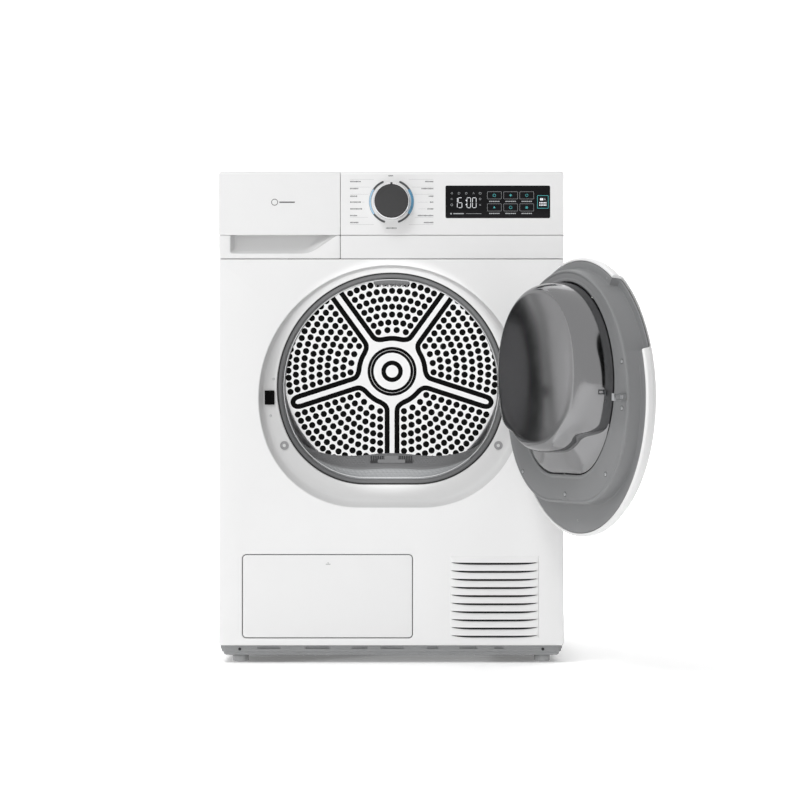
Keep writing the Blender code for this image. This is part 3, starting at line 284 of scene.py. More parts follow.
RIM = Finish("knob_bright_rim", "silver_rim", (0.86, 0.86, 0.87), 0.20, metallic=0.85, mottle=0.03, grain=0.0)
ARC_DARK = Finish("dial_arc_grey", "blue_light_guide", (0.075, 0.078, 0.082), 0.4, mottle=0.05)
ARC_BLUE = Finish("dial_arc_pale_blue", "blue_light_guide", (0.33, 0.52, 0.68), 0.3, mottle=0.05, glow=0.12)
ARC_DEEP = Finish("dial_arc_deep_blue", "blue_light_guide", (0.12, 0.33, 0.52), 0.3, mottle=0.05, glow=0.05)
RUBBER = Finish("black_rubber", "rubber", (0.022, 0.022, 0.022), 0.75, mottle=0.15, grain=0.00008)
BUMPER = Finish("grey_rubber", "rubber", (0.30, 0.30, 0.305), 0.6, mottle=0.05, grain=0.00004)
FELT = Finish("grey_felt", "felt", (0.17, 0.165, 0.16), 0.95, mottle=0.45, grain=0.0005, grain_scale=1500)
PAINTED = Finish("satin_black_paint", "black_painted_steel", (0.014, 0.014, 0.014), 0.35, mottle=0.1, grain=0.00006,
                 grain_scale=500, wear=0.2, worn=(0.30, 0.30, 0.30))
INK = Finish("dial_print_grey", "dark_knob", (0.13, 0.13, 0.13), 0.5, mottle=0.05)
HAIRLINE = Finish("dial_hairline_grey", "dark_knob", (0.33, 0.33, 0.33), 0.5, mottle=0.03)
LIT_WHITE = Finish("screen_white_marks", "white_plastic", (0.66, 0.67, 0.70), 0.4, glow=0.5)
LIT_DIM = Finish("screen_dim_marks", "white_plastic", (0.30, 0.31, 0.32), 0.4, glow=0.35)
LIT_TEAL = Finish("screen_teal_marks", "blue_light_guide", (0.07, 0.42, 0.43), 0.4, glow=0.35)
FLOOR = Finish("studio_floor", "white_plastic", (0.96, 0.96, 0.96), 0.7, mottle=0.01, grain=0.0, glow=0.2)

BY_SLOT = {f.slot: f for f in (ENAMEL, WHITE, PALE, GREY, BLACK, WINDOW, BOWL, STEEL, ZINC, FINS, KNOB, RIM,
                               ARC_BLUE, RUBBER, FELT, PAINTED)}


# ------------------------------------------------------------------ shapes


def smooth(t: Array | float) -> Array:
    """The S curve 3t^2 - 2t^3, with t held between 0 and 1."""
    t = np.clip(t, 0.0, 1.0)
    return t * t * (3 - 2 * t)


def circle(radius: float, count: int = ROUND, centre: Pair = (0.0, 0.0)) -> Array:
    """Points of a circle, anticlockwise: centre + radius (cos a, sin a)."""
    a = (np.arange(count) + 0.5) * 2 * math.pi / count
    return np.stack([centre[0] + radius * np.cos(a), centre[1] + radius * np.sin(a)], 1)


def flat_disc(shape: Disc, grow: float = 0.0, count: int = ROUND) -> Array:
    """Points of a disc with a flat bottom and round corners, at even angles about (0, height).

    The distance from the centre is the radius above the corners, the corner arc's far crossing along them, and
    flat / sin(angle below the horizontal) on the flat.

    Args:
        shape: radius, depth of the flat below the centre, corner radius, height of the centre.
        grow: how far the outline is moved outwards.
        count: how many points.

    Returns:
        An array of count by 2.
    """
    radius, flat, corner = (value + grow for value in shape[:3])
    down = corner - flat
    across = math.sqrt((radius - corner) ** 2 - down ** 2)
    a = (np.arange(count) + 0.5) * 2 * math.pi / count
    turn = np.arctan2(np.sin(a), np.abs(np.cos(a)))
    along = np.cos(turn) * across + np.sin(turn) * down
    arc = along + np.sqrt(np.maximum(along ** 2 - (radius - corner) ** 2 + corner ** 2, 0.0))
    level = flat / np.maximum(-np.sin(turn), 1e-6)
    above, below = turn >= math.atan2(down, across), turn <= math.atan2(-flat, across)
    reach = np.select([above, below], [radius + 0 * a, level], arc)
    return np.stack([reach * np.cos(a), shape[3] + reach * np.sin(a)], 1)


def rounded_box(low: Pair, high: Pair, radius: float, steps: int = 6) -> Array:
    """An anticlockwise rectangle with round corners: four quarter circles joined by straight sides."""
    turn = np.linspace(0, math.pi / 2, steps + 1)
    corners = [(high[0] - radius, high[1] - radius), (low[0] + radius, high[1] - radius),
               (low[0] + radius, low[1] + radius), (high[0] - radius, low[1] + radius)]
    return np.concatenate([
        np.stack([x + radius * np.cos(turn + i * math.pi / 2), z + radius * np.sin(turn + i * math.pi / 2)], 1)
        for i, (x, z) in enumerate(corners)
    ])


def upright(loop: Array, y: float | Array) -> Array:
    """A loop of (x, z) stood up at depth y, as points."""
    return np.stack([loop[:, 0], np.broadcast_to(y, len(loop)), loop[:, 1]], 1)


def softened(chain: Sequence[Array] | Array, radius: float, steps: int = 4, looped: bool = False) -> Array:
    """Rounds a chain of rings where it turns.

    Each ring but the ends gives way to a quadratic curve, (1-t)^2 p + 2t(1-t) c + t^2 q, where c is the ring and
    p and q lie up to radius before and after it.

    Args:
        chain: rings of the same number of points.
        radius: how far from the ring the curve starts.
        steps: how many strips the curve gets.
        looped: whether the last ring leads back to the first.

    Returns:
        The longer chain.
    """
    rings = np.asarray(chain, float)
    t = np.linspace(0, 1, steps + 1)[:, None, None]
    out = []
    for i, here in enumerate(rings):
        if not looped and i in (0, len(rings) - 1):
            out.append(here[None])
            continue
        legs = [rings[i - 1] - here, rings[(i + 1) % len(rings)] - here]
        ends = []
        for leg in legs:
            size = np.maximum(np.linalg.norm(leg, axis=-1, keepdims=True), 1e-9)
            ends.append(here + leg / size * np.minimum(radius, size * 0.48))
        out.append((1 - t) ** 2 * ends[0] + 2 * t * (1 - t) * here + t ** 2 * ends[1])
    return np.concatenate(out)


def skin(rings: Array, looped: bool = False, caps: bool = True, closed: bool = True) -> Patch:
    """The surface over a chain of rings, as a grid of quads.

    Args:
        rings: an array of rings by points by 3.
        looped: joins the last ring to the first, for a tube bent round on itself.
        caps: closes the first and last ring with a face each, unless looped.
        closed: whether each ring is closed.

    Returns:
        Points and faces.
    """
    rows, count = rings.shape[:2]
    i = np.arange(rows if looped else rows - 1)[:, None]
    j = np.arange(count if closed else count - 1)[None, :]
    i2, j2 = (i + 1) % rows, (j + 1) % count
    quads = np.stack([i * count + j, i * count + j2, i2 * count + j2, i2 * count + j], -1).reshape(-1, 4).tolist()
    if caps and not looped and closed:
        quads.append(list(range(count))[::-1])
        quads.append([(rows - 1) * count + k for k in range(count)])
    return rings.reshape(-1, 3), quads


def turned(profile: Sequence[Pair], centre: Pair, radius: float = 0.0008,
           looped: bool = True, steps: int = ROUND, up: bool = False) -> Patch:
    """A turned shape: a profile of (radius, place along the axis) carried round the axis.

    Args:
        profile: the profile's corners.
        centre: the axis, in x and z, or in x and y for an upright one.
        radius: how much the corners are rounded.
        looped: whether the profile closes on itself. Otherwise its ends are capped.
        steps: points round the axis.
        up: whether the axis is upright rather than along Y.

    Returns:
        Points and faces.
    """
    around = circle(1.0, steps)
    rings = []
    for r, along in profile:
        a, b = centre[0] + r * around[:, 0], centre[1] + r * around[:, 1]
        rings.append(np.stack([a, b, 0 * a + along] if up else [a, 0 * a + along, b], 1))
    chain = softened(rings, radius, 3, looped) if radius else np.asarray(rings)
    return skin(chain, looped)


def joined(patches: Iterable[Patch]) -> Patch:
    """Several patches as one."""
    points, faces, base = [], [], 0
    for some, quads in patches:
        points.append(some)
        faces += [[k + base for k in quad] for quad in quads]
        base += len(some)
    return np.concatenate(points), faces


def offset(loop: Array, inset: float) -> Array:
    """Moves a loop to its left by inset, along the normals of the chords between its neighbours."""
    chord = np.roll(loop, -1, 0) - np.roll(loop, 1, 0)
    chord /= np.maximum(np.linalg.norm(chord, axis=1, keepdims=True), 1e-12)
    return loop + inset * np.stack([-chord[:, 1], chord[:, 0]], 1)


def evened(loop: Array, count: int, passes: int) -> Array:
    """A loop resampled at even steps, then averaged over five neighbours, as often as passes says."""
    ring = np.concatenate([loop, loop[:1]])
    run = np.concatenate([[0], np.cumsum(np.linalg.norm(np.diff(ring, axis=0), axis=1))])
    at = np.linspace(0, run[-1], count, endpoint=False)
    even = np.stack([np.interp(at, run, ring[:, k]) for k in range(2)], 1)
    for _ in range(passes):
        even = sum(np.roll(even, k, 0) for k in range(-2, 3)) / 5
    return even


def anticlockwise(loop: Array, wanted: bool = True) -> Array:
    """The loop turned the wanted way, by the sign of its shoelace area."""
    x, z = loop[:, 0], loop[:, 1]
    area = np.sum(x * np.roll(z, -1) - np.roll(x, -1) * z)
    return loop if (area > 0) == wanted else loop[::-1]


def inside(points: Array, loops: Sequence[Array]) -> Array:
    """Whether each point is inside an odd number of loops, by counting the edges that a ray along X crosses."""
    start = np.concatenate(loops)
    end = np.concatenate([np.roll(loop, -1, 0) for loop in loops])
    low, high = np.minimum(start[:, 1], end[:, 1]), np.maximum(start[:, 1], end[:, 1])
    rise = np.where(end[:, 1] == start[:, 1], 1e-12, end[:, 1] - start[:, 1])
    found = np.zeros(len(points), bool)
    for first in range(0, len(points), 2000):
        x, z = points[first:first + 2000, 0, None], points[first:first + 2000, 1, None]
        meet = start[:, 0] + (z - start[:, 1]) / rise * (end[:, 0] - start[:, 0])
        found[first:first + 2000] = ((z > low) & (z <= high) & (meet > x)).sum(1) % 2 == 1
    return found


def front_place(x: Array, z: Array, depth: Array) -> Array:
    """Puts a plate's plane on the front, with depth going back."""
    return np.stack([x, depth, z], -1)


def at_depth(y: float) -> Place:
    """A place function like front_place, but with the plane at depth y."""
    return lambda x, z, depth: np.stack([x, y + depth, z], -1)


def plate(outline: Array, holes: Sequence[Array], profile: Sequence[Pair],
          place: Place = front_place, square: Sequence[Array] = ()) -> Patch:
    """A sheet with holes, whose edges follow a profile.

    The flat face is the constrained triangulation of the outline and the holes, keeping the triangles whose
    middles are inside an odd number of loops. Each loop is then carried along the profile, and the same
    triangles close the back.

    Args:
        outline: the outer loop, as (a, b).
        holes: loops whose edges follow the profile.
        profile: (inset, depth) from the face's edge to the back's edge.
        place: turns a, b and depth into points.
        square: holes whose edges go straight back.

    Returns:
        Points and faces.
    """
    loops = [anticlockwise(outline)] + [anticlockwise(h, False) for h in holes]
    plain = [anticlockwise(h, False) for h in square]
    sizes = [len(loop) for loop in loops + plain]
    starts = np.concatenate([[0], np.cumsum(sizes)])

    def level(inset: float) -> Array:
        """Every loop's points, moved in by inset, but for the square holes."""
        return np.concatenate([offset(loop, inset) for loop in loops] + plain)

    face = level(profile[0][0])
    edges = np.concatenate([
        np.stack([np.arange(n), (np.arange(n) + 1) % n], 1) + s for n, s in zip(sizes, starts)
    ])
    coords, _, triangles, *_ = delaunay_2d_cdt([Vector(p) for p in face.tolist()], edges.tolist(), [], 0, 1e-9)
    if len(coords) != len(face):
        raise ValueError("two loops of a plate cross each other")
    triangles = np.array(triangles)
    turn = face[triangles]
    cross = np.cross(turn[:, 1] - turn[:, 0], turn[:, 2] - turn[:, 0])
    middle = turn.mean(1)
    kept = inside(middle, [face[s:s + n] for n, s in zip(sizes, starts)]) & (np.abs(cross) > SMALLEST_FACE)
    triangles = triangles[kept]
    total = len(face)
    points = np.concatenate([
        place(level(inset)[:, 0], level(inset)[:, 1], np.full(total, depth)) for inset, depth in profile
    ])
    faces = triangles.tolist() + (triangles[:, ::-1] + total * (len(profile) - 1)).tolist()
    for n, s in zip(sizes, starts):
        k = np.arange(n)
        for row in range(len(profile) - 1):
            a, b = row * total + s, (row + 1) * total + s
            faces += np.stack([a + k, a + (k + 1) % n, b + (k + 1) % n, b + k], 1).tolist()
    return points, faces


def rolled(radius: float, thick: float, steps: int = 4) -> list[Pair]:
    """A plate's edge profile: a quarter round of that radius, then straight back to the thickness."""
    t = np.linspace(0, math.pi / 2, steps + 1)
    return [(radius * (1 - math.sin(a)), radius * (1 - math.cos(a))) for a in t] + [(0.0, thick)]


def bar(x0: float, x1: float, z0: float, z1: float, y0: float, y1: float, radius: float = 0.0003) -> Patch:
    """A small bar between two depths, with its outline's corners rounded."""
    loop = rounded_box((x0, z0), (x1, z1), min(radius, (x1 - x0) * 0.45, (z1 - z0) * 0.45), 3)
    return skin(np.stack([upright(loop, y0), upright(loop, y1)]))


# ------------------------------------------------------------------ pieces


class Workshop:
    """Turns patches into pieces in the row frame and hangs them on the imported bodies."""

    def __init__(self, frame: dict) -> None:
        """Works out where the cabinet's coordinates and the door's hinge lie in the row frame.
        """
        self.frame = frame
        top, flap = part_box("worktop"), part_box("service_flap")
        self.shift = np.array([(top[0][0] + top[1][0]) / 2, flap[0][1], 0.0])
        hinge = next(j for j in frame["joints"] if j["name"] == "door_hinge")
        self.hinge = np.array(hinge["pos_m"], float)
        self.count = 0

    def to_row(self, points: Array, space: Space) -> Array:
        """Moves points to the row frame: the door's are turned about its hinge by the open angle first."""
        placed = points + self.shift
        if space is Space.DOOR:
            a = math.radians(DOOR_OPEN_DEG)
            turn = np.array([[math.cos(a), -math.sin(a), 0], [math.sin(a), math.cos(a), 0], [0, 0, 1]])
            placed = (placed - self.hinge) @ turn.T + self.hinge
        return placed

    def piece(self, name: str, patch: Patch, finish: Finish, body: str, replaces: Sequence[str] = (),
              space: Space = Space.CABINET, sharp: float = 32.0, wall: float = 0.0) -> bpy.types.Object:
        """Makes a piece from a patch.

        Args:
            name: the piece's name.
            patch: points and faces in the given space.
            finish: what it is made of.
            body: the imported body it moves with.
            replaces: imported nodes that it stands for.
            space: the coordinates of its points.
            sharp: edges that turn more than this many degrees stay sharp.
            wall: the thickness that an open sheet is given inwards.

        Returns:
            The piece's object, at the origin.
        """
        points, faces = patch
        mesh = bpy.data.meshes.new(name)
        mesh.from_pydata(self.to_row(np.asarray(points, float), space).tolist(), [], faces)
        self.clean(mesh)
        mesh.materials.append(finish.material())
        made = bpy.data.objects.new(name, mesh)
        bpy.context.scene.collection.objects.link(made)
        if wall:
            solid = made.modifiers.new("wall", "SOLIDIFY")
            solid.thickness, solid.offset, solid.use_even_offset = wall, -1.0, True
        mesh.shade_smooth()
        mesh.set_sharp_from_angle(angle=math.radians(sharp))
        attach(made, body)
        if replaces:
            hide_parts(*replaces)
        self.count += 1
        LOG.info("%s: %d points, %s", name, len(mesh.vertices), finish.name)
        return made

    @staticmethod
    def clean(mesh: bpy.types.Mesh) -> None:
        """Merges doubled points and turns every face outwards."""
        work = bmesh.new()
        work.from_mesh(mesh)
        bmesh.ops.remove_doubles(work, verts=work.verts, dist=MERGE)
        bmesh.ops.recalc_face_normals(work, faces=work.faces)
        work.to_mesh(mesh)
        work.free()

    def dress(self, finishes: dict[str, Finish]) -> None:
        """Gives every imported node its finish: its own from finishes, or that of its slot.

        Args:
            finishes: node name to finish, for nodes that differ from their slot's finish.
        """
        slots = {row["node"]: row["material_slot"] for row in self.frame["record"]["subparts"]}
        for name, node in self.frame["nodes"].items():
            finish = finishes.get(name, BY_SLOT[slots[name]])
            for held in node.material_slots:
                held.material = finish.material()


def screw(x: float, z: float, y: float, radius: float, out: float = -1.0) -> Patch:
    """A pan head screw with a cross recess: a turned dome whose height dips along two crossing bars."""
    grid = np.linspace(0, 1, 12)[:, None] * radius
    a = (np.arange(32) * 2 * math.pi / 32)[None, :]
    u, v = grid * np.cos(a), grid * np.sin(a)
    dome = radius * 0.45 * np.sqrt(np.maximum(1 - (grid / radius) ** 4, 0.0)) + 0 * a
    arm = np.minimum(np.abs(u), np.abs(v))
    dip = (arm < radius * 0.14) & (np.maximum(np.abs(u), np.abs(v)) < radius * 0.62)
    high = dome - dip * radius * 0.30
    rings = np.stack([x + u, y + out * high, z + v], -1)[1:]
    return skin(rings[::-1])


# ------------------------------------------------------------------ sub-assemblies


@dataclass
class Shell:
    """The cabinet: front sheet with louvres, sides, rear, worktop, tray and feet."""

    shop: Workshop
    half: float = 0.2975
    panel_low: float = 0.0304
    panel_high: float = 0.6970
    side_top: float = 0.8310
    rear_y: float = 0.538
    recess: Disc = RECESS
    flap: tuple[Pair, Pair] = FLAP_OPENING
    louvre_x: Pair = (0.1012, 0.2546)
    louvre_top: float = 0.1733
    louvre_pitch: float = 0.01397
    louvres: int = 10
    louvre_head: float = 0.0110
    louvre_foot: float = 0.0044

    def build(self) -> None:
        """Makes every piece of the cabinet's outside."""
        self.front()
        self.sides()
        self.rear()
        self.top()
        self.tray()
        self.feet()

    def front(self) -> None:
        """The front sheet, the pressed louvres let into it, and a black sheet behind them that paints the shade seen
        through the slots.
        """
        outline = rounded_box((-self.half, self.panel_low), (self.half, self.panel_high), 0.0042, 6)
        (x0, z0), (x1, z1) = self.flap
        hole = rounded_box((x0, z0), (x1, z1), 0.0072, 8)
        block = np.array(self.louvre_block())
        sheet = plate(outline, [flat_disc(self.recess), hole], rolled(0.0024, 0.0118, 5), square=[block])
        self.shop.piece("front_sheet", sheet, ENAMEL, "cabinet", ["front_panel"], sharp=40)
        strips = [self.louvre(i) for i in range(self.louvres + 1)]
        self.shop.piece("front_louvres", joined(strips), ENAMEL, "cabinet", sharp=40, wall=0.0009)
        lx0, lx1, lz0, lz1 = block[:, 0].min(), block[:, 0].max(), block[:, 1].min(), block[:, 1].max()
        # Black sheet behind the louvres: painted shade for the cabinet's dark inside.
        screen = bar(lx0 + 0.004, lx1 - 0.004, lz0 + 0.002, lz1 - 0.002, 0.0062, 0.0075)
        self.shop.piece("louvre_painted_shade_sheet", screen, BLACK, "cabinet")

    def louvre_block(self) -> list[Pair]:
        """The rectangle that the louvres fill."""
        x0, x1 = self.louvre_x
        low = self.louvre_top - (self.louvres - 1) * self.louvre_pitch - self.louvre_foot
        high = self.louvre_top + self.louvre_head
        return [(x1, high), (x0, high), (x0, low), (x1, low)]

    def louvre(self, index: int) -> Patch:
        """One strip of the louvre block, from the last slot's lower edge to the next hood's lip.

        With w(u) = (1 - |2u - 1|^5) across, the strip's upper edge lies gap * w under the lip above, the face
        swells out by rise * w * S(v), and the lip rises at both ends by lift * (1 - w).

        Args:
            index: 0 for the topmost. The last one runs down to the block's lower edge instead of a lip.

        Returns:
            Points and faces of the strip.
        """
        x0, x1 = self.louvre_x
        rise, gap, lift = 0.0036, 0.0036, 0.0007
        u = np.linspace(0, 1, 61)
        w = (1 - np.abs(2 * u - 1) ** 5) * smooth(np.minimum(u, 1 - u) / 0.035 + 0.05)
        lip = self.louvre_top - index * self.louvre_pitch
        above = lip + self.louvre_pitch
        start = np.full_like(u, lip + self.louvre_head) if index == 0 else above + lift * (1 - w) - gap * w
        last = index == self.louvres
        end = np.full_like(u, lip + self.louvre_pitch - self.louvre_foot) if last else lip + lift * (1 - w)
        v = np.linspace(0, 1, 12)[:, None]
        z = start + (end - start) * v
        y = 0 * z if last else -rise * w * smooth((v - 0.15) / 0.85)
        return skin(np.stack([x0 + (x1 - x0) * u + 0 * z, y, z], -1), closed=False, caps=False)

    def sides(self) -> None:
        """Both side sheets.

        Each is a path in plan, fold, corner, face, corner, fold, carried up. The face stands out by
        rise * S(distance inside the pressed field / slope), the smaller of the distances along Y and Z.
        """
        fold, slope, rise, bend = 0.012, 0.012, 0.0030, 0.0022
        t = np.linspace(0, math.pi / 2, 6)
        face = np.linspace(0.0148, self.rear_y - 0.0025, 120)
        front = np.stack([self.half - bend * (1 - np.sin(t)), 0.0125 + bend * (1 - np.cos(t))], 1)
        back = np.stack([self.half - bend * (1 - np.cos(t)), self.rear_y - 0.0025 + bend * np.sin(t)], 1)
        path = np.concatenate([
            [[self.half - fold, 0.0125]], front, np.stack([np.full_like(face, self.half), face], 1)[1:], back[1:],
            [[self.half - fold, self.rear_y - 0.0003]],
        ])
        z = np.concatenate([np.linspace(self.panel_low, 0.34, 8), np.linspace(0.342, 0.612, 90),
                            np.linspace(0.63, self.side_top, 8)])
        zz, yy = np.meshgrid(z, path[:, 1], indexing="ij")
        reach = np.minimum(np.minimum(yy - 0.080, 0.480 - yy), np.minimum(zz - 0.344, 0.608 - zz))
        on_face = np.abs(path[:, 0] - self.half) < 1e-6
        out = rise * smooth(reach / slope) * on_face
        for name, side in (("side_sheet_left", -1), ("side_sheet_right", 1)):
            points = np.stack([side * (path[:, 0] + out), yy, zz], -1)
            node = "left_side_panel" if side < 0 else "right_side_panel"
            self.shop.piece(name, self.shelled(points, side), ENAMEL, "cabinet", [node], sharp=50)

    @staticmethod
    def shelled(points: Array, side: int, thick: float = 0.0010) -> Patch:
        """A sheet and its inner wall, moved towards the middle, joined round the edge."""
        inner = points.copy()
        inner[..., 0] -= side * thick
        rows, count = points.shape[:2]
        edge = np.concatenate([
            np.arange(count), np.arange(1, rows) * count + count - 1,
            (rows - 1) * count + np.arange(count - 2, -1, -1), np.arange(rows - 2, 0, -1) * count,
        ])
        total = rows * count
        nxt = np.roll(edge, -1)
        band = np.stack([edge, nxt, nxt + total, edge + total], 1).tolist()
        outer, back = skin(points, closed=False, caps=False), skin(inner, closed=False, caps=False)
        return (np.concatenate([outer[0], back[0]]),
                outer[1] + [[k + total for k in quad] for quad in back[1]] + band)

    def rear(self) -> None:
        """The rear sheet with stamped air slots and screws, and the rounded duct cover over the holes."""
        y = self.rear_y

        def place(x: Array, z: Array, depth: Array) -> Array:
            """Depth goes forward from the sheet's outer face."""
            return np.stack([x, y + 0.0012 - depth, z], -1)

        slots = [rounded_box((x, z), (x + 0.040, z + 0.006), 0.0029, 5)
                 for x in (-0.262, -0.208) for z in np.arange(0.085, 0.20, 0.014)]
        gland = circle(0.0083, 32, (-0.250, 0.780))
        half = self.half - 0.0006
        sheet = plate(rounded_box((-half, self.panel_low), (half, self.side_top), 0.003), slots + [gland],
                      rolled(0.0004, 0.0011, 2), place)
        screws = [screw(x, z, y + 0.0011, 0.0042, 1.0)
                  for x in (-0.285, 0.285) for z in (0.06, 0.30, 0.55, 0.81)]
        self.shop.piece("rear_sheet", sheet, ENAMEL, "cabinet", ["rear_panel"], sharp=40)
        start = y + 0.0015
        corners = np.array([(0.175, 0.055), (0.240, 0.055), (0.255, 0.150), (0.190, 0.400), (0.150, 0.640),
                            (0.070, 0.690), (-0.070, 0.690), (-0.150, 0.640), (-0.180, 0.508), (-0.150, 0.375),
                            (-0.060, 0.310), (0.060, 0.240), (0.105, 0.150)])
        outline = softened(corners[:, None, :], 0.030, 6, looped=True)[:, 0, :]
        middle = np.array([0.040, 0.400])

        def ring(depth: float, share: float) -> Array:
            """The cover's outline at a depth, drawn towards its middle."""
            return upright(middle + (outline - middle) * share, depth)

        chain = softened([ring(start, 0.992), ring(start + 0.0012, 0.992), ring(start + 0.0016, 0.968),
                          ring(0.5600, 0.950), ring(0.5602, 0.915), ring(0.5618, 0.900), ring(0.5618, 0.02)], 0.0012, 3)
        self.shop.piece("rear_duct_shell", skin(chain), ZINC, "cabinet", ["rear_duct_cover"], sharp=60)
        rim = outline[::9]
        screws += [screw(*(middle + (p - middle) * 0.982), start + 0.0010, 0.0034, 1.0) for p in rim]
        self.shop.piece("rear_screws", joined(screws), ZINC, "cabinet", sharp=60)

    def top(self) -> None:
        """The worktop: a board with round upper edges and a drip edge under them."""
        def place(x: Array, y: Array, depth: Array) -> Array:
            """Depth goes down from the top."""
            return np.stack([x, y, 0.850 - depth], -1)

        outline = rounded_box((-self.half, 0.0121), (self.half, self.rear_y + 0.010), 0.006, 8)
        profile = rolled(0.0030, 0.0150, 6) + [(0.0012, 0.0170), (0.0030, 0.0183)]
        self.shop.piece("worktop_board", plate(outline, [], profile, place), WHITE, "cabinet", ["worktop"], sharp=45)

    def tray(self) -> None:
        """The base tray, with its front relieved by stepped pockets, and the floor under the machine.

        The outline is swept from the rim down over a slanted skirt to a step and the floor. On the skirt each
        point goes in by the sum of depth * S(distance inside a pocket / slope).
        """
        half, front, back, low, high = 0.2958, 0.0134, self.rear_y - 0.003, 0.0122, 0.0296
        loop = rounded_box((-half, front), (half, back), 0.010, 6)
        dense = np.concatenate([
            loop[i] + (loop[(i + 1) % len(loop)] - loop[i]) * np.linspace(0, 1, n, endpoint=False)[:, None]
            for i, n in enumerate(
                np.maximum(1, (np.linalg.norm(np.roll(loop, -1, 0) - loop, axis=1) / 0.0035).astype(int)))
        ])
        levels = [(0.0592, 0.1200), (0.0592, 0.0078), (0.0300, 0.0078), (high, 0.0004), (0.0290, 0.0), (0.0275, 0.0),
                  (0.0255, 0.0), (0.0240, 0.0), (0.0232, 0.0016), (0.0205, 0.0018), (0.0190, 0.0022),
                  (0.0178, 0.0052), (0.0150, 0.0056), (0.0135, 0.0070), (low, 0.0090), (low, 0.1200)]
        pockets = ((-0.150, -0.105), (-0.070, -0.040), (-0.020, 0.022), (0.060, 0.082), (0.118, 0.150),
                   (0.176, 0.196), (-0.232, -0.190))
        rings = []
        for z, inset in levels:
            ring = offset(dense, inset)
            if 0.0185 < z < 0.0300:
                inward = sum(smooth((ring[:, 0] - a) / 0.0035) * smooth((b - ring[:, 0]) / 0.0035) for a, b in pockets)
                ring[:, 1] += np.where(ring[:, 1] < 0.014, 0.0045 * inward * smooth((0.0285 - z) / 0.002), 0.0)
            rings.append(np.stack([ring[:, 0], ring[:, 1], np.full(len(ring), z)], 1))
        self.shop.piece("base_tray_moulding", skin(np.stack(rings)), TRAY, "cabinet", ["base_tray"], sharp=25)
        # Black discs where the tray's screw holes are: painted shade for the holes' depth.
        holes = [turned([(0.0, 0.0126), (0.0026, 0.0126), (0.0026, 0.0122), (0.0001, 0.0122)], (x, 0.0232), 0.0,
                        looped=False, steps=20) for x in (-0.262, 0.262)]
        self.shop.piece("tray_screw_hole_shade", joined(holes), BLACK, "cabinet")

    def feet(self) -> None:
        """The four feet: the pad's radius waves by 0.5 mm, 22 times round, and its stem is threaded."""
        ribs, around, depth = 22, 132, 0.0005
        a = np.arange(around) * 2 * math.pi / around
        places = {"fl": ("foot_front_left", -0.262, 0.045), "fr": ("foot_front_right", 0.262, 0.045),
                  "rl": ("foot_rear_left", -0.262, 0.505), "rr": ("foot_rear_right", 0.262, 0.505)}
        levels = [(0.0105, 0.0, 0.0), (0.0128, 0.0004, 0.0), (0.0138, 0.0016, 1.0), (0.0138, 0.0100, 1.0),
                  (0.0128, 0.0114, 0.0), (0.0050, 0.0115, 0.0)]
        levels += [(0.0050 - 0.0006 * (i % 2), 0.0120 + 0.0010 * i, 0.0) for i in range(22)]
        for body, (node, x, y) in places.items():
            rings = []
            for r, z, rib in levels:
                reach = r - depth * rib * (0.5 + 0.5 * np.cos(ribs * a))
                rings.append(np.stack([x + reach * np.cos(a), y + reach * np.sin(a), np.full_like(a, z)], 1))
            self.shop.piece(node + "_ribbed", skin(np.stack(rings)), PALE, "foot_" + body, [node], sharp=50)


